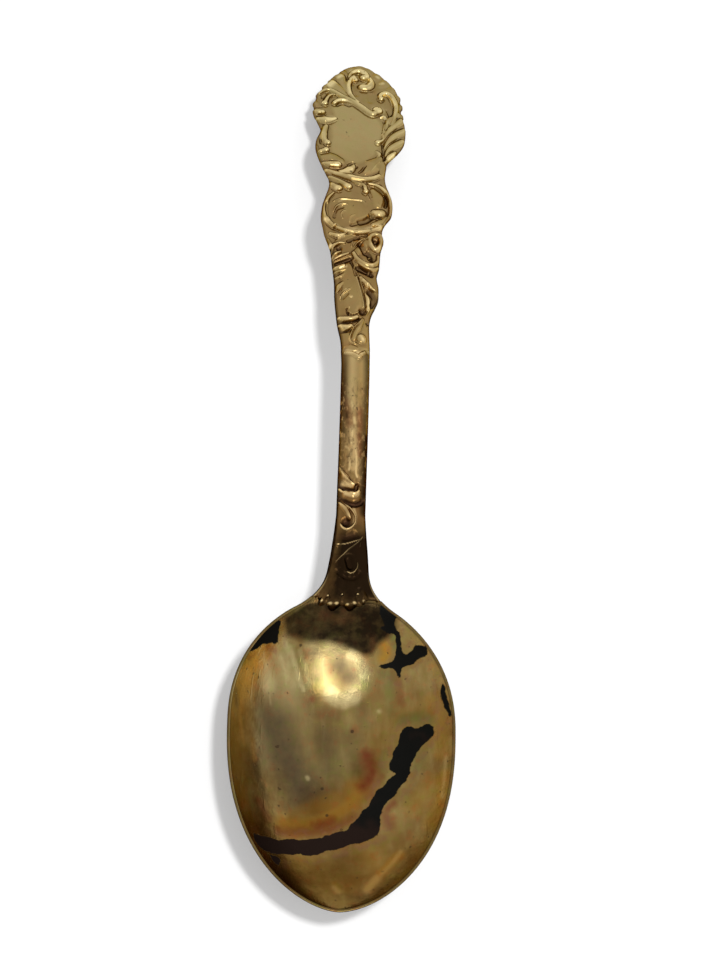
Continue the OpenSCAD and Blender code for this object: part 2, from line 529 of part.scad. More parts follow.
// Shares of the terminal's length and of half its width
terminal_strokes = [
    [[[0.02, 0.73], [-0.04, 0.785], [-0.05, 0.835], [0, 0.88], [0.08, 0.89]],
        [0.06, 0.1, 0.1], 0.06, 0.9],
    [[[-0.1, 0.9], [0.04, 0.935], [0.17, 0.945], [0.28, 0.932], [0.31, 0.905]],
        [0.06, 0.12, 0.12], 0.07, 1],
    [[[0.43, 0.94], [0.5, 0.915], [0.5, 0.88], [0.44, 0.85], [0.34, 0.84]],
        [0.06, 0.16, 0.2], 0.12, 1],
    [[[-0.68, 0.72], [-0.6, 0.755], [-0.46, 0.765], [-0.3, 0.74], [-0.1, 0.7], [0.1, 0.67],
        [0.28, 0.635], [0.42, 0.61], [0.57, 0.625]], [0.08, 0.14, 0.12], 0.1, 1],
    [[[0.12, 0.625], [-0.06, 0.64], [-0.21, 0.655], [-0.33, 0.652], [-0.4, 0.635]],
        [0.05, 0.09, 0.08], 0.05, 0.9],
    [[[-0.38, 0.705], [-0.48, 0.7], [-0.56, 0.67], [-0.62, 0.63]], [0.05, 0.1, 0.1], 0.07, 0.8],
    [[[-0.77, 0.572], [-0.72, 0.563], [-0.66, 0.556]], [0.06, 0.1, 0.1], 0.065, 0.8],
    [[[-0.74, 0.495], [-0.62, 0.488], [-0.48, 0.495]], [0.08, 0.16, 0.18], 0.11, 0.9],
    [[[-0.58, 0.43], [-0.6, 0.37], [-0.58, 0.325], [-0.54, 0.292]], [0.08, 0.12, 0.1], 0.065, 0.8],
    [[[-0.18, 0.785], [-0.26, 0.815], [-0.29, 0.85]], [0.05, 0.1, 0.06], 0, 0.5],
    [[[-0.31, 0.785], [-0.38, 0.8], [-0.45, 0.81]], [0.05, 0.09, 0.06], 0, 0.5],
    [[[0.17, 0.765], [0.2, 0.73], [0.32, 0.685]], [0.05, 0.1, 0.05], 0, 0.5],
    [[[0.88, 0.735], [0.81, 0.765], [0.71, 0.765], [0.63, 0.738]], [0.06, 0.11, 0.1], 0.06, 1],
    [[[0.79, 0.712], [0.88, 0.69], [0.92, 0.64], [0.9, 0.58], [0.84, 0.53]],
        [0.05, 0.12, 0.06], 0, 0.9],
    [[[0.75, 0.46], [0.74, 0.52], [0.67, 0.555]], [0.05, 0.09, 0.1], 0.06, 0.8],
    [[[1.03, 0.5], [0.94, 0.41], [0.8, 0.315], [0.69, 0.235]], [0.06, 0.09, 0.06], 0, 0.7],
    [[[1.04, 0.41], [0.97, 0.33], [0.84, 0.255], [0.71, 0.19]], [0.06, 0.09, 0.06], 0, 0.8],
    [[[0.84, 0.49], [0.76, 0.41], [0.67, 0.31], [0.62, 0.25]], [0.06, 0.09, 0.06], 0, 0.6],
    [[[-0.74, 0.17], [-0.58, 0.13], [-0.36, 0.135]], [0.08, 0.13, 0.13], 0.085, 0.9],
    [[[-0.54, 0.095], [-0.42, 0.072], [-0.2, 0.08]], [0.06, 0.13, 0.15], 0.1, 1],
    [[[-0.55, 0.055], [-0.4, 0.03], [-0.2, 0.02], [0, 0.02], [0.2, 0.022], [0.38, 0.035],
        [0.5, 0.06]], [0.06, 0.11, 0.06], 0, 1],
    [[[0.58, 0.17], [0.42, 0.15], [0.26, 0.11]], [0.08, 0.15, 0.07], 0, 0.6]];
terminal_pearls = [[[0.55, 0.34], 0.045, 0.7], [[0.53, 0.26], 0.04, 0.7],
    [[-0.6, 0.225], 0.055, 0.8]];
module terminal_scrolls() {
    half = terminal_w / 2;
    color(bright)
        show_all(concat(strokes_on(terminal_y, terminal_l, half, scroll_h, terminal_strokes),
            pearls_on(terminal_y, terminal_l, half, scroll_h, terminal_pearls)));
}

// Lobes that scallop the edge of the terminal: places along its left side, top and right side
edge_left_shares = [0.54, 0.6, 0.645, 0.685, 0.835, 0.87];
edge_top_shares = [[-0.18, 0.925], [-0.06, 0.955], [0.1, 0.977], [0.26, 0.977], [0.38, 0.963]];
edge_right_shares = [0.56, 0.605, 0.65, 0.695, 0.74, 0.785, 0.825, 0.86, 0.893];
lobe_inset_share = 1.1;
function edge_places(shares, side) = let (inset = edge_lobe_r * lobe_inset_share)
    [for (s = shares) let (y = terminal_y + terminal_l * s)
        [side < 0 ? inset - left_at(y) : right_at(y) - inset, y]];
module terminal_edge() {
    tops = [for (p = edge_top_shares) [terminal_w / 2 * p[0], terminal_y + terminal_l * p[1]]];
    places = concat(edge_places(edge_left_shares, -1), edge_places(edge_right_shares, 1), tops);
    color(gilt)
        show_all([for (p = places) pearl(p, edge_lobe_r, scroll_h / 2)]);
}

// The bare reserve: a low shield that follows the terminal's field, in rows across the handle.
// Each row: share of the terminal's length, then the left and right end as shares of half its width
reserve_row_shares = [[0.14, 0, 0.1], [0.165, -0.17, 0.24], [0.185, -0.28, 0.31],
    [0.21, -0.35, 0.4], [0.235, -0.42, 0.43], [0.26, -0.43, 0.46], [0.3, -0.45, 0.46],
    [0.34, -0.455, 0.46], [0.38, -0.45, 0.48], [0.42, -0.42, 0.52], [0.46, -0.32, 0.51],
    [0.5, -0.305, 0.5], [0.545, -0.3, 0.42], [0.575, -0.3, 0.26], [0.595, -0.3, 0.08]];
reserve_cols = 8;
function reserve_ring(row) = let (y = terminal_y + terminal_l * row[0])
    let (xs = [for (j = [0:reserve_cols]) terminal_w / 2 * mix(row[1], row[2], j / reserve_cols)])
    concat([for (x = xs) on_top([x, y], reserve_h)],
        [for (j = [0:reserve_cols]) on_top([xs[reserve_cols - j], y], 0)]);
module reserve_panel() {
    color(bright)
        show(lofted([for (row = reserve_row_shares) reserve_ring(row)], thin = true));
}

module shoulder() {
    color(gilt)
        shoulder_core();
}
module neck() {
    color(dull)
        neck_core();
}
module stem() {
    color(gilt)
        stem_core();
}
module leaf_sheath() {
    color(dull)
        sheath_core();
}
module roundel() {
    color(gilt)
        roundel_core();
}
module terminal() {
    color(gilt)
        terminal_core();
}

bowl();
bowl_heel();
shoulder();
shoulder_shell();
neck();
neck_scrolls();
stem();
stem_collar();
leaf_sheath();
sheath_leaves();
roundel();
roundel_ring();
roundel_shell();
terminal();
terminal_scrolls();
terminal_edge();
reserve_panel();
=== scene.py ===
"""Die-struck teaspoon in worn gilt metal. Shapes are worked out in mm and placed in metres."""

import bmesh
import bpy
import numpy as np
from mathutils import Matrix, Vector


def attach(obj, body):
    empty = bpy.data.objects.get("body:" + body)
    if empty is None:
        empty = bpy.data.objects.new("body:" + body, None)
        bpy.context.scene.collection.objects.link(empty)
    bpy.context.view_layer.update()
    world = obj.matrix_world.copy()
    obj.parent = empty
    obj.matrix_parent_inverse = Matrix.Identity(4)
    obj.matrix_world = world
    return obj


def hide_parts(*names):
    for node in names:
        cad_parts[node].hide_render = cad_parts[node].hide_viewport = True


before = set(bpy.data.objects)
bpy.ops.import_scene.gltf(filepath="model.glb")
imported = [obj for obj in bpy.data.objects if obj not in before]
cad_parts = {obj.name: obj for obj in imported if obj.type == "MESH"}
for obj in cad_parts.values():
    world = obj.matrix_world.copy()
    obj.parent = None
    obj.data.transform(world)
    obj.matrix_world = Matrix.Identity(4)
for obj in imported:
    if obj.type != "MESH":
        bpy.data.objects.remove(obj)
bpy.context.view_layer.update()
MM = 0.001


def add_object(name, data):
    obj = bpy.data.objects.new(name, data)
    bpy.context.collection.objects.link(obj)
    return obj


# ---------------------------------------------------------------- camera
# Fitted to the photo: lens and sensor in mm, the photo's size in pixels, the place in metres
LENS, SENSOR = 70.385, 36
PHOTO_W, PHOTO_H = 720, 960
CAMERA_AT = (
    (0.98221, -0.08611, -0.16691, -0.044294),
    (0.01762, 0.92702, -0.37461, -0.110653),
    (0.18698, 0.36500, 0.91204, 0.260660),
    (0, 0, 0, 1),
)
lens = bpy.data.cameras.new("Camera")
lens.lens, lens.sensor_width = LENS, SENSOR
lens.clip_start, lens.clip_end = 0.01, 10
camera = add_object("Camera", lens)
camera.matrix_world = Matrix(CAMERA_AT)
bpy.context.scene.camera = camera

# ---------------------------------------------------------------- main sizes, mm
TIP, WIDE, SHOULDER, NECK, STEM = -70.0, -44.2, -27.4, -22.0, -5.0
COLLAR, SHEATH, ROUNDEL, TERMINAL, END = 10.2, 12.0, 33.4, 43.6, 70.0
BOWL_W, BOWL_L, FRONT_L = 32.4, 42.6, 25.8
RIM_T, DEPTH, RIM_MID, WEAR = 0.42, 7.8, 8.8, 0.1
STEM_W, SHEATH_W, ROUNDEL_W, TERMINAL_W = 4.3, 8.0, 11.2, 15.0
HANDLE_L = END - SHOULDER
LEAN = 0.28
CREST_START, CREST_PULL, CREST_END = 10.05, 15.3, 2.15


def run_share(y, inset, overrun):
    """How far along the bowl a place is: 0 at its widest, 1 at the tip or at the far end."""
    return np.where(
        y < WIDE,
        (WIDE - y) / (FRONT_L - inset),
        (y - WIDE) / (BOWL_L - FRONT_L + overrun - inset),
    )


def bowl_half(y, inset):
    """Half the bowl's width, inset from its rim."""
    power = np.where(y < WIDE, 2.4, 2.2)
    return (BOWL_W / 2 - inset) * np.maximum(0, 1 - run_share(y, inset, 2.2) ** power) ** (1 / 1.7)


def rim_z(y):
    """The height of the rim, which dips to the tip and rises to the handle."""
    front = RIM_MID - 0.5 * ((WIDE - y) / FRONT_L) ** 2
    back = RIM_MID + 0.7 * ((y - WIDE) / (SHOULDER - WIDE)) ** 2
    return np.where(y < WIDE, front, back)


# Handle outline: shares of each region's length and of half its width
SHEATH_LEFT = [(0.02, 0.56), (0.1, 0.6), (0.2, 0.72), (0.3, 0.79), (0.42, 0.85), (0.55, 0.87),
    (0.66, 0.94), (0.8, 1.03), (0.87, 1.15), (0.94, 1.28)]
SHEATH_RIGHT = [(0.02, 0.54), (0.12, 0.52), (0.23, 0.51), (0.3, 0.58), (0.37, 0.73), (0.43, 0.84),
    (0.53, 0.86), (0.62, 0.79), (0.7, 0.88), (0.84, 0.94), (0.92, 1.04), (0.98, 0.99)]
ROUNDEL_LEFT = [(0, 0.96), (0.15, 1.01), (0.3, 1), (0.45, 0.96), (0.62, 0.87), (0.78, 0.79),
    (0.92, 0.78)]
ROUNDEL_RIGHT = [(0.06, 0.72), (0.16, 0.8), (0.29, 0.95), (0.42, 1), (0.6, 1), (0.76, 0.95),
    (0.92, 0.86)]
TERMINAL_LEFT = [(0.04, 0.68), (0.1, 0.76), (0.16, 0.83), (0.22, 0.86), (0.29, 0.83),
    (0.345, 0.76), (0.375, 0.74), (0.42, 0.79), (0.49, 0.88), (0.565, 0.9), (0.64, 0.85),
    (0.715, 0.75), (0.805, 0.56), (0.89, 0.36), (0.95, 0.2), (0.985, 0.02), (1, -0.12)]
TERMINAL_RIGHT = [(0.03, 0.62), (0.1, 0.65), (0.15, 0.69), (0.235, 0.91), (0.305, 1.05),
    (0.38, 1.11), (0.45, 1.12), (0.52, 1.11), (0.59, 1.09), (0.66, 1.1), (0.74, 1.07),
    (0.81, 0.99), (0.88, 0.84), (0.95, 0.6), (0.985, 0.42), (1, 0.28)]


def outline(sheath, roundel, terminal):
    """Places on one side of the outline, in mm: along the handle, and out from its middle."""
    regions = (
        (sheath, SHEATH, ROUNDEL, SHEATH_W),
        (roundel, ROUNDEL, TERMINAL, ROUNDEL_W),
        (terminal, TERMINAL, END, TERMINAL_W),
    )
    return np.array([
        (start + (end - start) * a, width / 2 * b)
        for shares, start, end, width in regions
        for a, b in shares
    ])


LEFT = outline(SHEATH_LEFT, ROUNDEL_LEFT, TERMINAL_LEFT)
RIGHT = outline(SHEATH_RIGHT, ROUNDEL_RIGHT, TERMINAL_RIGHT)


def smooth(y, table):
    """A smooth curve through a table of places and values."""
    at, value = table[:, 0], table[:, 1]
    slope = np.zeros(len(at))
    slope[1:-1] = (value[2:] - value[:-2]) / (at[2:] - at[:-2])
    k = np.clip(np.searchsorted(at, y, "right") - 1, 0, len(at) - 2)
    h = at[k + 1] - at[k]
    u = np.clip((y - at[k]) / h, 0, 1)
    v = 1 - u
    return (
        value[k] * v * v * (1 + 2 * u)
        + value[k + 1] * u * u * (3 - 2 * u)
        + h * u * v * (slope[k] * v - slope[k + 1] * u)
    )


def side_at(y, table):
    """Half width of the handle on one side: flare, stem, and the outline's table."""
    run = y - SHOULDER
    flare = 0.66 * np.clip(1 - run / 6, 0, 1) ** 2.6 + 0.34 * np.clip(1 - run / 14, 0, 1) ** 1.2
    stem = STEM_W / 2 + (bowl_half(np.array(SHOULDER), 0) - STEM_W / 2) * flare
    t = np.clip((y - COLLAR) / (SHEATH - COLLAR), 0, 1)
    return np.where(y < SHEATH, stem + (table[0, 1] - stem) * t, smooth(y, table))


def blurred(values, reach):
    """Running mean over a few samples on both sides, with the ends held."""
    padded = np.pad(values, reach, mode="edge")
    return np.convolve(padded, np.ones(2 * reach + 1) / (2 * reach + 1), "valid")


SAMPLES = np.linspace(SHOULDER - 2, END, 1000)


def along(y, table, reach=12):
    """Straight lines through a table, with the corners eased."""
    at, value = np.array(table, float).T
    return np.interp(y, SAMPLES, blurred(np.interp(SAMPLES, at, value), reach))


# Room for the relief, fall from the middle to the edges, and thickness, each along the handle, mm
RELIEF = [(SHOULDER, 0.55), (NECK, 0.4), (-8.4, 0.4), (STEM, 0.25), (COLLAR, 0.25), (12.9, 0.6),
    (ROUNDEL, 0.7), (TERMINAL, 0.75), (END, 0.75)]
CROWN = [(SHOULDER, 0), (NECK, 0.55), (STEM, 0.95), (COLLAR, 0.95), (12.9, 0.75), (28.05, 0.75),
    (ROUNDEL, 0.15), (END, 0.15)]
METAL = [(SHOULDER, 2), (NECK, 2.1), (STEM, 2), (COLLAR, 2), (22.7, 1.8), (ROUNDEL, 1.5),
    (TERMINAL, 1.4), (END, 1.4)]


def crest_z(y):
    """The arch of the handle: the height that its highest relief reaches."""
    u = (y - SHOULDER) / HANDLE_L
    v = 1 - u
    return CREST_START * v**3 + 3 * CREST_PULL * u * v + CREST_END * u**3


def field_z(y):
    """The height of the metal under the relief, along the middle."""
    return crest_z(y) - along(y, RELIEF)


# ---------------------------------------------------------------- relief on the handle
RIGHTWARDS, UPWARDS, BACKWARDS, EYE = np.array(CAMERA_AT)[:3].T
EYE = EYE / MM
FOCAL = LENS / SENSOR * PHOTO_H
PX_PER_MM = 6.35


def crest_line(x, y):
    """The height at which places on the handle are read: about half way up the relief."""
    return crest_z(np.clip(y, SHOULDER, END)) - 0.35


class Sheet:
    """An enlargement of part of the photo: its corner and its scale. Places are read on it, and
    follow the line of sight down to the metal."""

    def __init__(self, x, y, scale, height=crest_line):
        self.x, self.y, self.scale, self.height = x, y, scale, height

    def places(self, points):
        p = np.array(points, float) / self.scale + (self.x, self.y)
        rays = RIGHTWARDS * (p[:, :1] - PHOTO_W / 2) - UPWARDS * (p[:, 1:] - PHOTO_H / 2)
        rays = rays / FOCAL - BACKWARDS
        z = np.full(len(p), 6.0)
        for _ in range(30):
            at = EYE + rays * ((z - EYE[2]) / rays[:, 2])[:, None]
            z = 0.4 * z + 0.6 * self.height(at[:, 0], at[:, 1])
        return at[:, :2]

    def stroke(self, points):
        """The smooth line through places. One place alone becomes a very short line."""
        places = self.places(points)
        return curve(places) if len(places) > 1 else np.repeat(places, 2, 0) + [[0, 0], [0.01, 0]]

    def mm(self, size):
        """A length on the enlargement, in mm."""
        return size / self.scale / PX_PER_MM


def curve(p, steps=6):
    """Points along a smooth line through a few places."""
    p = np.vstack([p[:1], p, p[-1:]])
    a, b, c, d = (p[k : len(p) - 3 + k, None] for k in range(4))
    u = (np.arange(steps) / steps)[:, None]
    bent = (2 * a - 5 * b + 4 * c - d) * u**2 + (3 * b - a - 3 * c + d) * u**3
    out = 0.5 * (2 * b + (c - a) * u + bent)
    return np.vstack([out.reshape(-1, 2), p[-1:]])


def along_line(x, y, line):
    """Distance to a line, and the share of its length at the nearest place."""
    a, b = line[:-1], line[1:]
    d = b - a
    size = np.maximum((d * d).sum(1), 1e-12)
    starts = np.concatenate([[0], np.cumsum(np.sqrt(size))])
    best = np.full(x.shape, 1e9)
    place = np.zeros(x.shape)
    for k in range(len(a)):
        rx, ry = x - a[k, 0], y - a[k, 1]
        t = np.clip((rx * d[k, 0] + ry * d[k, 1]) / size[k], 0, 1)
        dist = np.hypot(rx - t * d[k, 0], ry - t * d[k, 1])
        near = dist < best
        best = np.where(near, dist, best)
        place = np.where(near, (starts[k] + t * np.sqrt(size[k])) / starts[-1], place)
    return best, place


def inside_by(x, y, shape):
    """How far inside a closed outline each place lies, in mm. Outside it is below zero."""
    best = np.full(x.shape, 1e9)
    inside = np.zeros(x.shape, bool)
    for (ax, ay), (bx, by) in zip(shape, np.roll(shape, -1, 0)):
        dx, dy = bx - ax, by - ay
        t = np.clip(((x - ax) * dx + (y - ay) * dy) / max(dx * dx + dy * dy, 1e-9), 0, 1)
        best = np.minimum(best, np.hypot(x - ax - t * dx, y - ay - t * dy))
        crosses = (ay > y) != (by > y)
        inside ^= crosses & (x < ax + (y - ay) * dx / (dy if abs(dy) > 1e-9 else 1e-9))
    return np.where(inside, best, -best)


def keep_higher(field, m, value):
    field[m] = np.maximum(field[m], value)


class Carving:
    """A height field over the handle, in mm: bodies, thin lines on them, and hollows cut in."""

    def __init__(self, x, y):
        self.x, self.y = x, y
        self.raised = np.zeros(x.shape)
        self.lines = np.zeros(x.shape)
        self.cut = np.zeros(x.shape)
        self.moat = np.zeros(x.shape)

    def around(self, line, reach):
        """Which places lie in the box round a line."""
        lo, hi = line.min(0) - reach, line.max(0) + reach
        return (self.x > lo[0]) & (self.x < hi[0]) & (self.y > lo[1]) & (self.y < hi[1])

    def along(self, sheet, points, widths, beyond):
        """The places near a tapered line: which, how far along it, its width there, and how far
        across it, where 1 is the edge."""
        line = sheet.stroke(points)
        m = self.around(line, widths.max() + beyond)
        dist, place = along_line(self.x[m], self.y[m], line)
        w = np.interp(place, [0, 0.5, 1], widths)
        return m, place, w, dist / (w / 2)

    def body(self, sheet, points, widths, h, bulb=0, moat=0.16, taper=0.3, fat=1.4):
        """A scroll or leaf with a rounded section, and a round bulb at its end."""
        widths = np.array([sheet.mm(w) * fat for w in widths])
        m, _, w, q = self.along(sheet, points, widths, 0.5)
        rise = taper + (1 - taper) * w / widths.max()
        top = h * rise * (0.6 * np.maximum(0, 1 - q * q) ** 0.7 + 0.4 * np.exp(-1.7 * q * q))
        keep_higher(self.raised, m, top)
        keep_higher(self.moat, m, moat * h * rise * np.exp(-(((q - 1.1) / 0.4) ** 2)))
        if bulb:
            self.knob(sheet, points[-1], bulb * 1.12, h, moat)

    def knob(self, sheet, point, r, h, moat=0.25):
        """A round bulb."""
        place = sheet.places([point])
        r = sheet.mm(r)
        m = self.around(place, r * 2 + 0.4)
        q = np.hypot(self.x[m] - place[0, 0], self.y[m] - place[0, 1]) / r
        keep_higher(self.raised, m, h * np.maximum(0, 1 - q * q) ** 0.6)
        keep_higher(self.moat, m, moat * h * np.exp(-(((q - 1.1) / 0.4) ** 2)))

    def line(self, sheet, points, widths, h):
        """A thin raised line that lies on whatever is under it."""
        widths = np.array([sheet.mm(w) for w in widths])
        m, place, _, q = self.along(sheet, points, widths, 0.2)
        ends = np.clip(np.minimum(place, 1 - place) / 0.08 + 0.3, 0, 1)
        keep_higher(self.lines, m, h * ends * np.exp(-1.6 * q * q))

    def hollow(self, sheet, points, r, depth):
        """A hollow cut along a short line."""
        line = sheet.stroke(points)
        r = sheet.mm(r)
        m = self.around(line, r * 2)
        dist, _ = along_line(self.x[m], self.y[m], line)
        keep_higher(self.cut, m, depth * np.exp(-1.4 * (dist / r) ** 2.6))

    def result(self, top):
        """All of it together, with the highest places eased to the top."""
        t = np.clip(self.raised / (0.3 * top), 0, 1)
        out = self.raised - self.moat * (1 - t) - self.cut + self.lines
        high = 0.85 * top
        return np.where(out > high, high + 0.15 * top * np.tanh((out - high) / (0.15 * top)), out)


PART_A = Sheet(300, 60, 13.067)
PART_B = Sheet(300, 125, 13.067)
PART_C = Sheet(310, 225, 15.68)
PART_D = Sheet(310, 285, 15.68)
PART_E = Sheet(310, 455, 15.68)
PART_F = Sheet(300, 530, 15.68)
PART_M = Sheet(300, 60, 12.06)
PART_N = Sheet(300, 180, 12.06)

# Bodies: places, widths at the start, middle and end, height in mm, radius of a bulb at the end
# Lines: places, widths, height. Knobs: place, radius, height. Hollows: places, radius, depth
END_BODIES = [
    ([(640, 215), (680, 160), (760, 135), (840, 160), (870, 200), (830, 222)], (30, 75, 80), 0.75, 42),
    ([(920, 235), (938, 290), (895, 345), (825, 345)], (50, 95, 100), 0.75, 50),
    ([(730, 250), (700, 215), (655, 260), (640, 330), (655, 410), (695, 480), (760, 545)],
        (60, 58, 50), 0.65),
    ([(255, 415), (320, 375), (400, 372), (480, 410), (560, 460), (650, 505), (740, 555),
        (830, 615), (900, 665), (960, 690), (1020, 645)], (40, 70, 75), 0.65, 66),
    ([(700, 550), (610, 460), (520, 360), (420, 285)], (40, 100, 130), 0.5),
    ([(650, 450), (590, 340), (550, 250), (530, 190)], (40, 90, 110), 0.45),
    ([(720, 570), (640, 532), (560, 508), (490, 518), (455, 545)], (30, 58, 58), 0.6, 30),
    ([(470, 440), (410, 440), (362, 480), (330, 545)], (25, 45, 60), 0.6, 42),
    ([(185, 632), (240, 650), (300, 662)], (20, 70, 66), 0.55, 40),
    ([(180, 720), (270, 755), (385, 762), (470, 748)], (16, 104, 44), 0.74),
    ([(1062, 500), (1060, 445), (1120, 420), (1190, 450), (1240, 520), (1262, 610), (1245, 720),
        (1205, 830)], (60, 68, 50), 0.65),
    ([(1060, 735), (1100, 725), (1145, 775)], (25, 45, 25), 0.45),
    ([(345, 845), (318, 930), (325, 1010), (368, 1062)], (60, 84, 60), 0.6, 42),
    ([(200, 1190), (275, 1175), (345, 1155)], (20, 60, 66), 0.62, 42),
    ([(1085, 950), (1090, 1030), (1025, 1060)], (25, 38, 48), 0.5, 36),
]
END_KNOBS = [((715, 230), 36, 0.68), ((1064, 492), 42, 0.7)]
END_HOLLOWS = [([(730, 310), (735, 430)], 46, 0.2), ([(925, 440), (925, 520)], 46, 0.16),
    ([(490, 575), (560, 552), (650, 580)], 20, 0.3), ([(640, 250), (600, 180)], 16, 0.2),
    ([(300, 470), (360, 410)], 22, 0.22), ([(230, 700), (330, 690)], 18, 0.25),
    ([(200, 590), (290, 590)], 16, 0.2), ([(1150, 640), (1190, 720)], 30, 0.22),
    ([(250, 860), (270, 960), (280, 1060)], 18, 0.25), ([(1110, 800), (1120, 900)], 20, 0.2)]
GADROONS = [((800, 150), (800, 85)), ((690, 170), (670, 105)), ((600, 210), (560, 150)),
    ((880, 170), (915, 115)), ((975, 250), (1040, 192)), ((1060, 330), (1135, 278)),
    ((1150, 410), (1225, 372)), ((1225, 500), (1300, 478)), ((1275, 610), (1345, 595)),
    ((1290, 725), (1365, 720)), ((350, 350), (300, 300)), ((250, 450), (205, 410)),
    ((215, 540), (165, 530))]
END_LOBES = [([inner, outer], (60, 96, 104), 0.2, 0, 0.12) for inner, outer in GADROONS]
LOW_BODIES = [
    ([(250, 400), (340, 395), (440, 410), (530, 455)], (50, 120, 90), 0.4),
    ([(290, 470), (390, 490), (500, 498)], (24, 84, 84), 0.66, 46),
    ([(215, 250), (225, 380), (265, 510)], (50, 90, 50), 0.4),
    ([(725, 500), (680, 556), (600, 594), (530, 604)], (40, 104, 64), 0.74),
    ([(290, 548), (400, 590), (520, 630), (640, 664), (760, 690), (860, 696), (960, 682),
        (1035, 648)], (40, 88, 55), 0.72),
    ([(860, 610), (940, 530), (1010, 465), (1055, 425)], (60, 170, 70), 0.5),
    ([(1060, 650), (1100, 570), (1085, 480)], (60, 110, 60), 0.4),
    ([(1010, 330), (1042, 370), (1030, 400)], (30, 52, 30), 0.45),
    ([(1130, 465), (1180, 405), (1245, 355)], (40, 78, 60), 0.65),
    ([(1120, 380), (1180, 300), (1260, 245), (1345, 205)], (30, 80, 80), 0.55),
    ([(1110, 285), (1170, 195), (1260, 115), (1365, 65)], (30, 80, 84), 0.55),
    ([(1100, 185), (1150, 85), (1235, 0), (1330, -70)], (30, 76, 84), 0.55),
    ([(1092, 90), (1125, 0), (1185, -85), (1280, -150)], (30, 66, 74), 0.5),
    ([(365, 640), (460, 690), (560, 740), (640, 788)], (30, 66, 76), 0.62, 44),
    ([(360, 705), (430, 762), (510, 808)], (30, 66, 76), 0.62, 46),
    ([(690, 722), (780, 750), (850, 785)], (30, 54, 30), 0.4),
    ([(800, 745), (850, 795), (864, 858)], (24, 54, 56), 0.6, 38),
    ([(445, 868), (372, 940), (333, 1040), (334, 1130), (372, 1230), (440, 1300)],
        (30, 62, 56), 0.65),
    ([(900, 760), (990, 775), (1080, 822), (1140, 890), (1188, 990), (1202, 1090), (1180, 1200),
        (1110, 1290)], (34, 62, 62), 0.65),
    ([(600, 1060), (680, 1110), (760, 1150)], (260, 330, 260), 0.22),
    ([(960, 850), (1020, 930), (1020, 1030)], (70, 125, 90), 0.42),
    ([(985, 1140), (1075, 1140)], (90, 104, 96), 0.62),
    ([(960, 1290), (1060, 1260), (1130, 1200)], (50, 80, 40), 0.5),
]
LOW_LINES = [
    ([(435, 985), (520, 952), (620, 955), (760, 966), (820, 975), (865, 1005)], (22, 30, 22), 0.26),
    ([(445, 1120), (470, 1060), (530, 1022), (600, 1020), (630, 1035)], (22, 30, 22), 0.26),
    ([(565, 1215), (540, 1160), (560, 1120), (600, 1108)], (22, 30, 22), 0.24),
    ([(650, 1260), (660, 1190), (720, 1160)], (22, 30, 20), 0.15),
    ([(880, 900), (915, 960)], (22, 34, 22), 0.2),
    ([(930, 600), (1000, 520), (1060, 460)], (16, 22, 16), 0.12),
    ([(400, 430), (480, 440), (540, 480)], (16, 22, 16), 0.1),
]
LOW_HOLLOWS = [([(640, 500), (700, 478), (745, 530)], 22, 0.35),
    ([(790, 1255), (870, 1232), (955, 1172)], 48, 0.6),
    ([(1112, 905), (1140, 980), (1122, 1050)], 22, 0.4),
    ([(352, 1010), (346, 1100), (366, 1180)], 22, 0.4),
    ([(780, 600), (830, 560), (860, 520)], 20, 0.28),
    ([(1085, 230), (1095, 330), (1110, 440)], 18, 0.3),
    ([(1050, 1215), (1000, 1200)], 22, 0.35), ([(400, 670), (500, 730)], 14, 0.2),
    ([(680, 1290), (760, 1270)], 26, 0.3), ([(1040, 755), (1070, 775)], 16, 0.3),
    ([(455, 1180), (480, 1090), (560, 1060)], 26, 0.22)]
SHEATH_BODIES = [
    ([(400, 10), (520, 60), (660, 90), (820, 96), (980, 76), (1120, 15)], (55, 74, 60), 0.65),
    ([(325, 110), (400, 135), (455, 150), (560, 122)], (40, 66, 30), 0.6),
    ([(295, 190), (325, 270), (345, 335)], (30, 54, 34), 0.4),
    ([(350, 400), (368, 312), (450, 262), (545, 268)], (34, 48, 28), 0.5),
    ([(365, 452), (420, 412), (485, 395)], (26, 48, 34), 0.5),
    ([(378, 505), (480, 462), (605, 428)], (26, 50, 34), 0.5),
    ([(385, 640), (450, 640), (530, 622)], (44, 72, 66), 0.6, 36),
    ([(395, 705), (480, 692), (565, 680)], (30, 52, 44), 0.48),
    ([(415, 790), (480, 782), (545, 742)], (30, 54, 40), 0.42),
    ([(600, 690), (650, 850), (690, 1050), (705, 1250)], (190, 250, 230), 0.38),
    ([(430, 1015), (470, 932), (525, 875)], (34, 76, 44), 0.48),
    ([(940, 235), (958, 158), (1035, 130), (1112, 165), (1135, 250), (1108, 325), (1040, 365),
        (975, 320), (940, 245)], (66, 76, 70), 0.6),
    ([(700, 420), (760, 395), (850, 335), (905, 250)], (70, 120, 80), 0.34),
    ([(690, 430), (740, 512), (830, 580), (920, 615), (1010, 600), (1078, 540), (1088, 470)],
        (60, 74, 54), 0.6),
    ([(760, 570), (870, 655), (1000, 672), (1085, 640)], (40, 54, 44), 0.45),
    ([(800, 820), (870, 892), (965, 968), (1030, 1000)], (62, 78, 34), 0.58),
    ([(868, 1080), (918, 1160), (930, 1240), (908, 1320)], (40, 68, 54), 0.6),
]
SHEATH_KNOBS = [((950, 482), 24, 0.3), ((932, 722), 26, 0.3), ((640, 1120), 26, 0.5)]
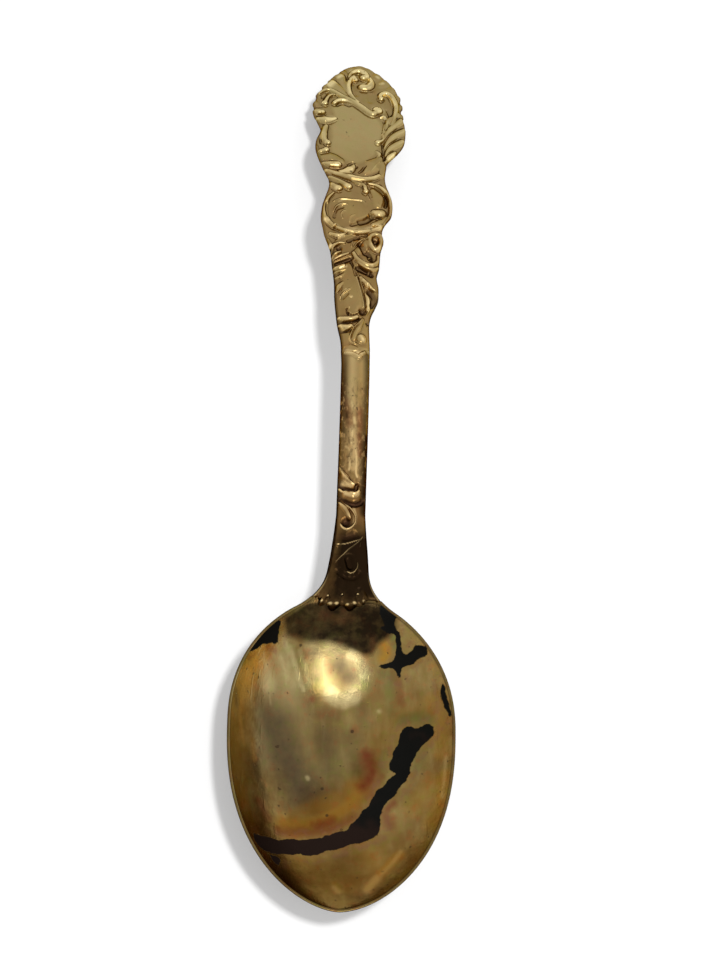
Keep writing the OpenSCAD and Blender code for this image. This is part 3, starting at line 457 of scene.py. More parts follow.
SHEATH_LINES = [
    ([(330, 320), (400, 242), (500, 178), (620, 138), (760, 128)], (26, 34, 26), 0.22),
    ([(485, 1150), (500, 1080), (560, 1022), (640, 985)], (24, 32, 24), 0.3),
    ([(690, 640), (715, 760), (770, 950), (825, 1130), (855, 1320)], (26, 32, 32), 0.3),
    ([(745, 740), (805, 920), (868, 1110), (885, 1250)], (20, 28, 26), 0.22),
    ([(690, 345), (740, 272), (830, 212), (930, 180)], (24, 36, 30), 0.26),
    ([(655, 330), (668, 255), (705, 200)], (20, 30, 22), 0.24),
    ([(1080, 1020), (1094, 1120), (1060, 1230), (960, 1290)], (26, 36, 26), 0.3),
]
SHEATH_HOLLOWS = [([(470, 335)], 50, 0.45), ([(432, 566), (520, 546), (640, 512)], 36, 0.55),
    ([(645, 530), (690, 650), (720, 780)], 24, 0.4), ([(1035, 242)], 46, 0.6),
    ([(800, 300), (860, 400), (930, 440), (965, 500)], 52, 0.55),
    ([(610, 230), (760, 180)], 36, 0.35), ([(760, 660), (860, 705), (965, 745)], 50, 0.6),
    ([(960, 1040), (1022, 1120), (985, 1235)], 64, 0.55), ([(900, 930), (960, 1030)], 20, 0.25),
    ([(745, 820), (800, 1000), (850, 1180)], 13, 0.2),
    ([(540, 1120), (600, 1060)], 24, 0.15)]
COLLAR_BODIES = [
    ([(690, 110), (700, 250), (690, 370)], (190, 210, 150), 0.38),
    ([(468, 482), (540, 502), (640, 520), (735, 488)], (44, 80, 54), 0.6),
    ([(470, 592), (560, 640), (635, 640)], (34, 82, 80), 0.55, 44),
    ([(850, 520), (785, 640), (722, 735), (690, 830)], (24, 64, 60), 0.32),
    ([(560, 965), (640, 975), (725, 990)], (60, 110, 60), 0.24),
    ([(560, 1035), (640, 1055), (710, 1092), (768, 1132), (800, 1088), (860, 1048), (935, 1015)],
        (44, 58, 36), 0.34),
]
COLLAR_KNOBS = [((816, 830), 84, 0.42, 0.1)]
COLLAR_LINES = [
    ([(622, 330), (598, 380), (650, 440), (720, 440), (772, 400)], (26, 38, 26), 0.24),
    ([(880, 470), (930, 392), (1010, 312), (1062, 230)], (22, 32, 22), 0.24),
    ([(835, 500), (780, 570), (700, 650), (650, 740), (630, 820), (660, 886), (732, 910)],
        (22, 34, 38), 0.34),
]
COLLAR_HOLLOWS = [([(590, 358), (606, 425)], 22, 0.4), ([(820, 402)], 56, 0.55),
    ([(480, 560), (600, 566), (720, 552), (790, 510)], 14, 0.3),
    ([(500, 702), (600, 702), (662, 662)], 15, 0.28), ([(915, 572)], 32, 0.4),
    ([(905, 1035)], 34, 0.3), ([(700, 450), (740, 450)], 20, 0.25)]
NECK_BODIES = [
    ([(480, 160), (520, 270), (580, 370), (640, 440), (692, 462)], (24, 78, 40), 0.4),
    ([(560, 600), (640, 622), (700, 620), (770, 575)], (60, 92, 50), 0.36),
    ([(455, 690), (530, 800), (590, 900), (622, 990)], (24, 62, 44), 0.34),
]
NECK_LINES = [
    ([(500, 235), (545, 320), (610, 400), (692, 448)], (18, 24, 18), 0.14),
    ([(468, 490), (520, 558), (610, 560), (668, 592), (722, 592), (768, 540), (762, 480)],
        (24, 34, 26), 0.28),
    ([(480, 650), (560, 760), (650, 860), (705, 950), (712, 1040), (662, 1120), (582, 1156),
        (512, 1120), (480, 1050)], (22, 36, 30), 0.34),
]
NECK_HOLLOWS = [([(490, 450), (560, 512), (660, 546), (720, 530), (742, 470)], 36, 0.5),
    ([(500, 672), (600, 742), (710, 772), (800, 732), (830, 692)], 44, 0.5),
    ([(575, 1045)], 74, 0.62)]
FAN_LINES = [
    ([(560, 190), (640, 215), (740, 205), (860, 170), (940, 140), (1000, 80)], (11, 15, 13), 0.1248),
    ([(1000, 80), (950, 150), (850, 235), (760, 300), (700, 360), (620, 430), (550, 500)],
        (12, 16, 15), 0.1344),
    ([(985, 110), (960, 180), (940, 270)], (10, 16, 11), 0.096),
    ([(905, 500), (905, 570), (865, 640), (800, 672), (735, 650)], (10, 15, 11), 0.144),
]
FAN_HOLLOWS = [([(620, 90), (740, 110), (850, 70)], 64, 0.34), ([(620, 270), (600, 330)], 50, 0.28),
    ([(760, 450), (790, 560)], 66, 0.5),
    ([(600, 640), (720, 730), (850, 740), (920, 680)], 48, 0.28)]
FAN_KNOBS = [((x, y), 22, 0.34, 0.05) for x, y in ((438, 1026), (660, 1010), (905, 1006))]
# Scalloped lobes of the shell: centre and half width on the enlargement
FAN_LOBES = [(310, 1075, 88), (525, 1120, 112), (800, 1128, 114), (1022, 1080, 92)]


def rows_of(stretches):
    """Places along the handle: start, end and step of each stretch."""
    out = []
    for a, b, step in stretches:
        n = int(round((b - a) / step))
        out += [a + (b - a) * i / n for i in range(n)]
    return out


STRETCHES = [(SHOULDER, NECK, 0.09), (NECK, STEM, 0.12), (STEM, COLLAR, 0.3), (COLLAR, SHEATH, 0.1),
    (SHEATH, ROUNDEL, 0.115), (ROUNDEL, TERMINAL, 0.11)]
turn = np.linspace(0, 1, 251)
end_rows = TERMINAL + (END - TERMINAL) * (0.45 * turn + 0.55 * np.sin(turn * np.pi / 2))
YS = np.array(rows_of(STRETCHES) + list(end_rows))
# Points in a ring: over the top, on each side, and underneath
TOP, SIDE, UNDER = 121, 8, 25
RINGN = TOP + 2 * SIDE + UNDER

# Columns across the top, closer together near the edges
t = np.linspace(-1, 1, TOP)
U = 0.8 * t + 0.2 * np.sin(t * np.pi / 2)
left, right = side_at(YS, LEFT), side_at(YS, RIGHT)
t = np.clip((YS - SHOULDER) / 9, 0, 1)
half, mid = (left + right) / 2, (right - left) / 2 + LEAN * t**2 * (3 - 2 * t)
X = mid[:, None] + half[:, None] * U[None, :]
Y = np.repeat(YS[:, None], TOP, 1)

# The scalloped edge: the outline bulges at each lobe and draws back between them
LOBES = PART_A.places([outer for inner, outer in GADROONS])
rows = np.where(YS > TERMINAL + 12)[0]
ends = np.clip((YS[rows] - TERMINAL - 12) / 2, 0, 1)
ends *= np.clip(LOBES[:, 1].max() + 1 - YS[rows], 0, 1)
for k, side in ((0, -1), (TOP - 1, 1)):
    edge = np.stack([X[rows, k], Y[rows, k]], 1)
    near = np.linalg.norm(edge[:, None] - LOBES, axis=2).min(1)
    draw = 0.25 * np.clip((near - 0.3) / 0.5, 0, 1) * ends * (near < 1.6)
    X[rows] -= side * draw[:, None] * np.clip(side * U[None, :], 0, 1) ** 4

# The front of the shoulder: lobes that end one by one over the bowl
lobes = []
for fx, fy, fw in FAN_LOBES:
    (ax, ay), (bx, by) = PART_F.places([(fx - fw, fy), (fx + fw, fy)])
    lobes.append(((ax + bx) / 2, (ay + by) / 2 - 0.15, (bx - ax) / 2))
FRONT_ENDS = SHOULDER + 1.1
front = np.full(TOP, FRONT_ENDS)
for fx, fy, fr in lobes:
    q = (X[0] - fx) / fr
    lobe = fy + 0.35 - 1.25 * np.sqrt(1 - np.clip(q * q, 0, 1))
    front = np.minimum(front, np.where(abs(q) < 1, lobe, 9))
front = np.clip(front, SHOULDER - 0.9, None)
between = (X[0] > lobes[0][0]) & (X[0] < lobes[-1][0])
front = blurred(np.where(between, np.minimum(front, SHOULDER + 0.3), front), 2)
# The rows behind it move with it, and keep to the flare of the outline
w = np.clip(1 - (Y - SHOULDER) / 3.6, 0, 1)
Y += (front[None, :] - SHOULDER) * w
flared = U[None, :] * side_at(np.maximum(Y, SHOULDER), LEFT) + mid[:, None] * (w < 1)
X = np.where(w > 0, flared, X)

terminal, sheath, neck = Carving(X, Y), Carving(X, Y), Carving(X, Y)
for carving, sheet, bodies, knobs, lines, hollows in (
    (terminal, PART_A, END_BODIES + END_LOBES, END_KNOBS, [], END_HOLLOWS),
    (terminal, PART_B, LOW_BODIES, [], LOW_LINES, LOW_HOLLOWS),
    (sheath, PART_C, SHEATH_BODIES, SHEATH_KNOBS, SHEATH_LINES, SHEATH_HOLLOWS),
    (sheath, PART_D, COLLAR_BODIES, COLLAR_KNOBS, COLLAR_LINES, COLLAR_HOLLOWS),
    (neck, PART_E, NECK_BODIES, [], NECK_LINES, NECK_HOLLOWS),
    (neck, PART_F, [], FAN_KNOBS, FAN_LINES, FAN_HOLLOWS),
):
    for row in bodies:
        carving.body(sheet, *row)
    for row in knobs:
        carving.knob(sheet, *row)
    for row in lines:
        carving.line(sheet, *row)
    for row in hollows:
        carving.hollow(sheet, *row)

# The domed lobes of the shell, which narrow towards the neck
LOBE_END = NECK + 0.8
for fx, fy, fr in lobes:
    narrowing = 0.7 * np.clip((Y - fy) / (LOBE_END - fy), 0, 1) ** 0.8
    q = np.abs(X - fx * (1 - narrowing)) / (fr * (1 - narrowing))
    here = (q < 1.2) & (Y < LOBE_END)
    bowed = np.where(Y > fy, q, np.hypot(X - fx, (Y - fy) * 1.35) / fr)
    dome = 0.36 * np.maximum(0, 1 - bowed**2) ** 1.15
    groove = 0.03 * np.exp(-(((bowed - 1.05) / 0.14) ** 2))
    fade = 0.25 + 0.75 * np.clip((fy + 1.7 - Y) / 1.2, 0, 1)
    fade = fade * np.clip((LOBE_END - Y) / 2, 0, 1)
    neck.raised = np.where(here, np.maximum(neck.raised, dome * fade), neck.raised)
    neck.cut = np.where(here, np.maximum(neck.cut, groove * fade), neck.cut)

# Distance from the edge of the outline, for the rounding there
gap = np.minimum(X - X[:, :1], X[:, -1:] - X)
slope = np.abs(np.gradient(half, YS))[:, None]
gap = gap / np.sqrt(1 + slope**2)
gap = np.minimum(gap, (END - Y) * 0.9 + 0.02)
rim_line = np.exp(-(((gap - 0.26) / 0.11) ** 2)) * np.clip((-21.5 - Y) / 3.5, 0, 1)
relief = terminal.result(0.74) + sheath.result(0.6) + neck.result(0.5) + 0.12 * rim_line
ROUNDED = [0.5, 0.5, 0.7, 0.55, 0.5, 0.5]
round_r = np.interp(YS, [SHOULDER, NECK, STEM, SHEATH, ROUNDEL, END], ROUNDED)[:, None]
q = np.clip(1 - gap / round_r, 0, 1)
drop = round_r * (1 - np.sqrt(1 - q * q))
nose = np.clip(1 - (Y - Y[:1]) / 0.85, 0, 1)
drop = np.maximum(drop, 1.15 * (1 - np.sqrt(1 - nose**2)) * (Y < NECK))

base = field_z(Y) - along(YS, CROWN)[:, None] * ((X - mid[:, None]) / half[:, None]) ** 2
keep = np.clip(gap / 0.35, 0, 1) ** 0.5
Z = base + relief * (0.35 + 0.65 * keep) - drop


def soft(field, reach):
    """Running means both ways."""
    for axis in (0, 1):
        field = np.apply_along_axis(blurred, axis, field, reach)
    return field


# Dirt in what lies lower than its surroundings, and rubbed gilt with painted highlights on what stands
# higher
mean = soft(soft(relief, 4), 4)
DIRT = [(SHOULDER, 0.1), (-18, 0.15), (-15, 0.9), (12, 0.8), (15, 0.9), (30, 0.8),
    (ROUNDEL + 2, 0.52), (TERMINAL, 0.34), (END - 10, 0.3), (END - 6, 0.16), (END, 0.14)]
HOLLOW = np.clip((mean - relief) / 0.4 - np.minimum(relief, 0) * 1.1, 0, 1)
HOLLOW *= along(YS, DIRT)[:, None]
RUB_AND_HIGHLIGHT = np.clip(((relief - mean) / 0.26 - 0.15) * np.where((Y < 6) & (Y > -20), 1.4, 1.1), 0, 1)
drawn_lines = terminal.lines + sheath.lines + neck.lines
RUB_AND_HIGHLIGHT *= np.clip((Y + 25.2) / 1.2, 0.12, 1)
RUB_AND_HIGHLIGHT *= np.clip(np.maximum((relief - 0.06) / 0.2, drawn_lines / 0.06), 0, 1)
RUB_AND_HIGHLIGHT *= np.where(Y > SHEATH, 0.3 + 0.35 * np.clip(relief / 0.6, 0, 1), 1)
# Painted highlights: more rub towards the end of the terminal and round the collar
RUB_AND_HIGHLIGHT *= 1 + 0.55 * np.clip((Y - 58) / 6, 0, 1) + 0.5 * np.clip(1 - abs(Y - 16) / 4, 0, 1)

# Painted glints on the shell: place and radius
GLINTS = [((322, 1100), 15), ((470, 1146), 15), ((580, 1150), 15), ((742, 1164), 11),
    ((855, 1142), 14), ((1012, 1115), 12), ((438, 1026), 8), ((660, 1010), 6), ((905, 1006), 9)]
for place, r in GLINTS:
    (gx, gy), = PART_F.places([place])
    spot = np.hypot((X - gx) / 1.6, Y - gy) / PART_F.mm(r)
    RUB_AND_HIGHLIGHT = np.maximum(RUB_AND_HIGHLIGHT, 1.5 * np.exp(-(spot**2)))
# A painted highlight along the raised border line of the shoulder
RUB_AND_HIGHLIGHT = np.maximum(RUB_AND_HIGHLIGHT, 0.45 * rim_line)

# The whole ring round the handle: top, right side, underside, left side
back = field_z(YS) - along(YS, METAL)
ring = np.zeros((len(YS), RINGN, 3))
ring[:, :TOP, 0], ring[:, :TOP, 1], ring[:, :TOP, 2] = X, Y, Z
for k in range(SIDE):
    a = (k + 1) / SIDE * np.pi / 2
    tuck = 1 - 0.2 * (1 - np.cos(a))
    for col, edge in ((TOP + k, -1), (RINGN - 1 - k, 0)):
        ring[:, col, 0] = mid + (X[:, edge] - mid) * tuck
        ring[:, col, 1] = Y[:, edge]
        ring[:, col, 2] = Z[:, edge] + (back - Z[:, edge]) * np.sin(a)
for k in range(UNDER):
    s = 1 - 2 * (k + 1) / (UNDER + 1)
    ring[:, TOP + SIDE + k, 0] = mid + half * 0.8 * s
    ring[:, TOP + SIDE + k, 1] = YS
    ring[:, TOP + SIDE + k, 2] = back
ring[:, :, 2] = np.maximum(ring[:, :, 2], 0)
ring[:, :, 1] = np.minimum(ring[:, :, 1], END)

# How the handle has aged, with painted shade in the dark towards the neck and shoulder: places along
# it, and how dark, red, pale, warm and matt it is there
AGE_AND_SHADE = [(SHOULDER, 0.75), (SHOULDER + 1.6, 1.0), (NECK, 1.1), (-18, 1.08), (-16.4, 0.92),
    (-14.8, 0.45), (-11, 0.25), (STEM, 0.08), (4, 0.02), (12, 0.04), (15, 0.1), (24, 0.12),
    (ROUNDEL, 0.05), (END, 0)]
REDNESS = [(SHOULDER, 0.2), (NECK, 0.25), (-12, 0.2), (-7, 0.15), (0, 0.15), (4, 0.1), (8, 0.05),
    (END, 0.03)]
BRIGHT = [(SHOULDER, 0), (-12, 0.1), (6, 0.35), (13, 0.75), (20, 0.7), (26, 0.35), (ROUNDEL, 0.55),
    (TERMINAL + 4, 0.75), (TERMINAL + 9, 0.95), (END - 9, 1.0), (END, 0.9)]
WARM = [(SHOULDER, 0.6), (NECK, 0.95), (STEM, 0.8), (4, 0.65), (12, 0.6), (ROUNDEL, 0.5),
    (TERMINAL, 0.3), (TERMINAL + 7, 0.08), (END, 0)]
FIELD = [(SHOULDER, 0), (14, 0.1), (ROUNDEL, 0.35), (TERMINAL, 0.48), (END - 12, 0.4),
    (END - 7, 0.26), (END, 0.1)]
# The bare reserve, read on the enlargement of the terminal
reserve_line = PART_A.places([(430, 600), (560, 560), (700, 590), (860, 670), (980, 720),
    (1060, 800), (1090, 900), (1060, 1000), (1040, 1120), (980, 1230), (880, 1300), (780, 1330),
    (620, 1300), (540, 1240), (420, 1180), (400, 1080), (430, 980), (420, 850), (470, 740)])


def all_round(top, elsewhere):
    """Values for the whole ring: the top, and one value for the sides and the underside."""
    out = np.full((len(YS), RINGN), float(elsewhere))
    out[:, :TOP] = top
    return out


reserve = np.clip(0.5 + inside_by(X, Y, reserve_line) / 0.7, 0, 1)
flank = np.clip((-U[None, :] - 0.35) / 0.4, 0, 1)
# Painted shade along the edges of the top
edge_shade = np.clip(1.15 - gap / 0.32, 0, 1)
age_and_shade = along(YS, AGE_AND_SHADE)[:, None] * (1 - 0.22 * flank) + np.where(Y > 30, 0.5, 0.85) * edge_shade


def strokes(x, y, rows, spread=1.0, beyond=np.inf):
    """Soft strokes: each row has a sheet, places along its middle, a half width and a strength."""
    out = np.zeros(x.shape)
    for sheet, points, reach, strength in rows:
        line = sheet.stroke(points)
        m = (y > line[:, 1].min() - beyond) & (y < line[:, 1].max() + beyond)
        dist, _ = along_line(x[m], y[m], line)
        keep_higher(out, m, strength * np.exp(-((dist / sheet.mm(reach) / spread) ** 2)))
    return out


def streaks(rows):
    """Soft streaks on the handle."""
    return strokes(X, Y, rows, 1.15, 2)


# Painted light bands, painted highlights, painted glints, painted brown shade, reddish tarnish, and
# worn gilt on the handle
painted_light_bands = streaks([
    (PART_D, [(700, 1120), (681, 1475), (659, 1750), (680, 1950), (659, 2300)], 84, 1.1),
    (PART_E, [(640, -330), (650, -100), (680, 200)], 84, 0.95),
    (PART_E, [(780, 80), (790, 230), (800, 380)], 50, 0.8),
    (PART_E, [(560, 100), (580, 280), (700, 340)], 50, 0.5),
    (PART_D, [(600, 1030), (660, 1050), (740, 1080)], 46, 1),
])
# Painted highlights along the stem, the neck scrolls and the collar
painted_highlights = streaks([
    (PART_D, [(660, 1150), (650, 1400), (645, 1700), (655, 1850)], 60, 0.28),
    (PART_E, [(659, -430), (662, -370), (655, -300)], 18, 1.2),
    (PART_E, [(652, -270), (648, -190)], 15, 1.2),
    (PART_E, [(670, -420), (680, -330), (690, -250), (700, -120), (700, 200)], 50, 0.45),
    (PART_E, [(648, -190), (700, -120), (720, -60)], 16, 0.7),
    (PART_E, [(714, -84), (725, 102), (720, 267), (740, 340)], 14, 1.0),
    (PART_E, [(615, 48), (625, 150), (615, 227)], 13, 0.8),
    (PART_D, [(655, 1850), (680, 1930)], 24, 0.6),
    (PART_D, [(690, 2090), (700, 2160)], 20, 0.8),
    (PART_E, [(560, -150), (640, -60), (640, 0)], 15, 0.4),
    (PART_D, [(590, 1028), (650, 1050), (730, 1060), (790, 1070)], 30, 1.1),
    (PART_D, [(700, 1060), (760, 1120)], 18, 0.9),
    (PART_D, [(800, 800), (830, 850)], 28, 1.0),
    (PART_E, [(540, 420), (620, 460), (690, 470)], 30, 0.8),
    (PART_E, [(650, 600), (700, 625), (740, 600)], 28, 0.9),
    (PART_E, [(690, 850), (712, 960), (700, 1060)], 22, 0.6),
])
# Painted glints on the terminal
painted_glints = streaks([
    (PART_M, [(640, 135), (710, 118), (775, 150), (798, 195)], 30, 1.2),
    (PART_M, [(665, 205), (612, 250), (598, 330), (612, 395)], 22, 1.0),
    (PART_M, [(760, 310), (815, 285), (850, 235)], 38, 1.2),
    (PART_M, [(360, 285), (410, 255)], 38, 0.9),
    (PART_M, [(470, 200), (500, 185)], 22, 0.7),
    (PART_M, [(420, 505), (480, 482), (560, 480)], 20, 0.95),
    (PART_M, [(285, 495), (310, 510)], 26, 0.9),
    (PART_M, [(245, 600), (275, 604)], 24, 0.9),
    (PART_M, [(335, 695), (400, 690)], 36, 1.3),
    (PART_M, [(335, 975), (350, 980)], 22, 1.0),
    (PART_M, [(300, 1065), (330, 1068)], 22, 1.0),
    (PART_M, [(690, 500), (740, 530), (800, 580)], 22, 0.9),
    (PART_M, [(925, 585), (965, 595)], 46, 1.3),
    (PART_M, [(965, 440), (1000, 415), (1060, 405)], 24, 1.0),
    (PART_M, [(1110, 470), (1150, 540)], 24, 0.75),
    (PART_M, [(930, 190), (950, 205)], 20, 0.6),
    (PART_M, [(975, 275), (1000, 268)], 22, 0.7),
    (PART_M, [(985, 690), (1015, 690)], 22, 0.9),
    (PART_M, [(930, 978), (950, 985)], 20, 0.9),
    (PART_M, [(1065, 1185), (1125, 1140)], 24, 0.9),
    (PART_M, [(440, 1245), (475, 1245)], 30, 0.9),
    (PART_M, [(500, 1335), (560, 1325), (610, 1315)], 26, 1.25),
    (PART_M, [(600, 1390), (700, 1405), (800, 1410), (900, 1395)], 24, 1.1),
    (PART_M, [(420, 1350), (500, 1370)], 18, 0.6),
    (PART_N, [(450, 85), (490, 82)], 26, 0.9),
    (PART_N, [(570, 65), (610, 68)], 28, 0.95),
    (PART_N, [(780, 110), (795, 135)], 24, 0.9),
    (PART_N, [(920, 50), (980, 80), (1035, 135)], 18, 0.8),
    (PART_N, [(310, 460), (345, 485)], 20, 0.8),
    (PART_N, [(560, 590), (660, 585), (760, 600), (860, 575), (950, 560)], 32, 1.0),
    (PART_N, [(440, 520), (500, 560)], 16, 0.6),
    (PART_N, [(460, 655), (500, 650)], 28, 0.9),
    (PART_N, [(910, 395), (970, 405)], 26, 0.7),
    (PART_N, [(885, 770), (915, 810), (945, 800)], 30, 1.0),
    (PART_N, [(770, 960), (810, 1000), (870, 1015)], 18, 0.85),
    (PART_N, [(420, 905), (460, 890)], 18, 0.7),
    (PART_N, [(500, 1040), (545, 1025)], 22, 0.75),
    (PART_N, [(770, 1205), (815, 1235), (855, 1280)], 18, 0.8),
    (PART_N, [(825, 1400), (830, 1470), (825, 1540)], 22, 0.85),
    (PART_N, [(500, 1400), (515, 1350), (560, 1310)], 12, 0.7),
    (PART_N, [(610, 1398), (622, 1404)], 12, 0.8),
    (PART_N, [(470, 245), (600, 212), (700, 232), (770, 240)], 10, 0.5),
    (PART_N, [(370, 775), (385, 760)], 18, 0.7),
])
# Painted shade: dark brown bands down the flanks of the stem and neck, and under the scrolls
brown = streaks([
    (PART_D, [(500, 1060), (515, 1300), (510, 1600), (495, 1900), (490, 2300)], 84, 0.88),
    (PART_D, [(905, 1100), (905, 1500), (885, 1900), (865, 2300)], 56, 0.7),
    (PART_E, [(470, -300), (460, 0), (455, 330), (450, 700)], 58, 0.95),
    (PART_E, [(880, -300), (875, 0), (860, 330), (850, 640), (845, 900)], 76, 0.95),
    (PART_E, [(560, 706), (630, 745), (730, 752), (815, 706)], 30, 1.05),
    (PART_E, [(545, 1070), (600, 1050)], 44, 1.05),
    (PART_E, [(500, 492), (600, 520), (700, 540)], 18, 0.8),
    (PART_D, [(575, 1995), (580, 2060)], 30, 0.85),
    (PART_E, [(600, 20), (660, -30)], 24, 0.6),
])
rusty = streaks([
    (PART_D, [(580, 1800), (590, 2000), (640, 2200)], 60, 0.7),
    (PART_D, [(780, 1980), (800, 2250)], 60, 0.75),
    (PART_E, [(760, -330), (780, -150), (770, 0)], 50, 0.75),
    (PART_E, [(560, 590), (600, 620)], 50, 0.8),
    (PART_E, [(600, 760), (500, 700)], 30, 0.5),
    (PART_D, [(510, 1100), (520, 1500), (510, 2000)], 60, 0.55),
    (PART_F, [(700, 400), (640, 470)], 40, 0.7),
])
worn = streaks([
    (PART_D, [(650, 1650), (650, 2000), (650, 2400)], 220, 0.8),
    (PART_E, [(650, -350), (650, 0), (650, 250)], 220, 1),
])
# The painted shade bands join the dark
age_and_shade = np.maximum(age_and_shade, brown)
# The low ground between the forms takes the brown field tone: partly tarnish, partly painted shade
ground = np.clip(1 - relief / 0.3, 0, 1) * (1 - reserve)
painted_glints *= 1.3 * np.clip(relief / 0.2, 0.5, 1)
# Pale gilt along the handle with painted light bands, less pale in the painted shade of the edges and
# the low ground
pale_and_highlight = np.maximum(along(YS, BRIGHT)[:, None], painted_light_bands) * (1 - 0.8 * edge_shade)
pale_and_highlight *= np.where(Y > 12.5, (1 - 0.5 * ground) * (0.78 + 0.22 * reserve), 1)
# Values of stain and speck below zero mean that there is none
# On the sides and underside, the hollow, dark and field values are painted shade
NO_STAIN, NO_SPECK = -4.0, -0.5
handle_values = {
    "hollow": all_round(HOLLOW, 0.35),
    "rub_and_highlight": all_round(np.maximum(np.maximum(RUB_AND_HIGHLIGHT, painted_highlights), painted_glints), 0),
    "patina_and_shade": all_round(np.clip(age_and_shade, 0, 1.1), 0.9),
    "red": all_round(np.maximum(along(YS, REDNESS)[:, None], rusty * 0.7), 0.1),
    "pale_and_highlight": all_round(pale_and_highlight, 0),
    "field": all_round(ground * along(YS, FIELD)[:, None], 0.3),
    "stain": all_round(NO_STAIN, NO_STAIN),
    "speck": all_round(NO_SPECK, NO_SPECK),
    "worn": all_round(worn, 0),
    "warm": all_round(along(YS, WARM)[:, None], 0.6),
}


def facing(points):
    """Vertex directions of a grid of rings, outwards."""
    around = np.roll(points, -1, 1) - np.roll(points, 1, 1)
    n = np.cross(around, np.gradient(points, axis=0))
    return n / np.maximum(np.linalg.norm(n, axis=2, keepdims=True), 1e-12)


def flat_grid(name, columns, rows, size):
    """An operator's flat grid, as a mesh."""
    bm = bmesh.new()
    bmesh.ops.create_grid(bm, x_segments=columns, y_segments=rows, size=size)
    mesh = bpy.data.meshes.new(name)
    bm.to_mesh(mesh)
    bm.free()
    return mesh


def read(items, key, width=1, kind=np.int32):
    """One property of all items, as an array with a row for each."""
    out = np.zeros(len(items) * width, kind)
    items.foreach_get(key, out)
    return out.reshape(-1, width)


def grid_mesh(name, points, values, directions):
    """A closed tube. Its rows are the rings of an operator's grid, and only the points move."""
    rows, n = points.shape[:2]
    points = np.concatenate([points, points[:, :1]], 1)
    directions = np.concatenate([directions, directions[:, :1]], 1)
    mesh = flat_grid(name, n, rows - 1, 1)
    mesh.vertices.foreach_set("co", (points.reshape(-1, 3) * MM).ravel())
    for key, value in values.items():
        value = np.concatenate([value, value[:, :1]], 1)
        layer = mesh.attributes.new(key, "FLOAT", "POINT")
        layer.data.foreach_set("value", value.ravel().astype(np.float32))
    layer = mesh.attributes.new("facing", "FLOAT_VECTOR", "POINT")
    layer.data.foreach_set("vector", directions.reshape(-1, 3).ravel().astype(np.float32))
    # The seam is joined and the two ends are closed. Material index 1 marks the caps until the end
    bm = bmesh.new()
    bm.from_mesh(mesh)
    bmesh.ops.remove_doubles(bm, verts=bm.verts, dist=2e-7)
    open_edges = [e for e in bm.edges if e.is_boundary]
    caps = bmesh.ops.holes_fill(bm, edges=open_edges, sides=0)["faces"]
    caps = bmesh.ops.triangulate(bm, faces=caps)["faces"]
    for face in bm.faces:
        face.smooth = True
    for face in caps:
        face.material_index = 1
    bmesh.ops.recalc_face_normals(bm, faces=bm.faces)
    bm.to_mesh(mesh)
    bm.free()
    # Smooth normals from the grid's own directions, and flat ones on the caps
    corner = read(mesh.loops, "vertex_index")[:, 0]
    normals = read(mesh.attributes["facing"].data, "vector", 3, np.float32)[corner]
    owner = np.repeat(np.arange(len(mesh.polygons)), read(mesh.polygons, "loop_total")[:, 0])
    flat = read(mesh.polygons, "normal", 3, np.float32)[owner]
    on_cap = read(mesh.polygons, "material_index")[owner] == 1
    against = (normals * flat).sum(1, keepdims=True) < 0.05
    normals = np.where(on_cap | against, flat, normals)
    mesh.normals_split_custom_set([tuple(n) for n in normals.tolist()])
    mesh.polygons.foreach_set("material_index", np.zeros(len(mesh.polygons), np.int32))
    mesh.attributes.remove(mesh.attributes["facing"])
    return add_object(name, mesh)


WAYS = facing(ring)
REGIONS = [
    ("shoulder_fan", SHOULDER, NECK, ("shoulder", "shoulder_shell")),
    ("scrolled_neck", NECK, STEM, ("neck", "neck_scrolls")),
    ("plain_stem", STEM, SHEATH, ("stem", "stem_collar")),
    ("leafy_sheath", SHEATH, ROUNDEL, ("leaf_sheath", "sheath_leaves")),
    ("round_boss", ROUNDEL, TERMINAL, ("roundel", "roundel_ring", "roundel_shell")),
    ("handle_end", TERMINAL, END, ("terminal", "terminal_scrolls", "terminal_edge", "reserve_panel")),
]
pieces = []
for name, a, b, nodes in REGIONS:
    rows = np.where((YS > a - 1e-6) & (YS < b + 1e-6))[0]
    values = {key: value[rows] for key, value in handle_values.items()}
    obj = grid_mesh(name, ring[rows], values, WAYS[rows])
    pieces.append((obj, nodes, "handle_gilt"))

# ---------------------------------------------------------------- the bowl
AROUND = 288
BACK_Y = -25.7


def bowl_outline(inset, back_y):
    """The oval of the rim from the right end of the shoulder, round the tip, to the left end."""
    rows = np.concatenate([
        WIDE - (FRONT_L - inset) * np.cos(np.linspace(0, 1, 240) * np.pi / 2),
        np.linspace(WIDE, back_y, 120)[1:],
    ])
    sides = bowl_half(np.minimum(rows, SHOULDER), inset)
    beyond = side_at(np.maximum(rows, SHOULDER), LEFT) - 0.03
    steep = np.abs(np.gradient(beyond, rows))
    beyond = beyond - inset * np.sqrt(1 + steep**2)
    joint = np.array(SHOULDER)
    step_out = side_at(joint, LEFT) - 0.03 - inset * 1.8 - bowl_half(joint, inset)
    eased = sides + step_out * np.clip((rows - SHOULDER + 0.8) / 0.8, 0, 1)
    sides = np.where(rows > SHOULDER, beyond, eased)
    line = np.vstack([np.column_stack([sides, rows])[::-1], np.column_stack([-sides, rows])[1:]])
    length = np.concatenate([[0], np.cumsum(np.hypot(*np.diff(line, axis=0).T))])
    at = np.linspace(0, length[-1], AROUND - 47)
    out = np.column_stack([np.interp(at, length, line[:, 0]), np.interp(at, length, line[:, 1])])
    closing = np.linspace(out[-1], out[0], 49)[1:-1]
    return np.vstack([out, closing])


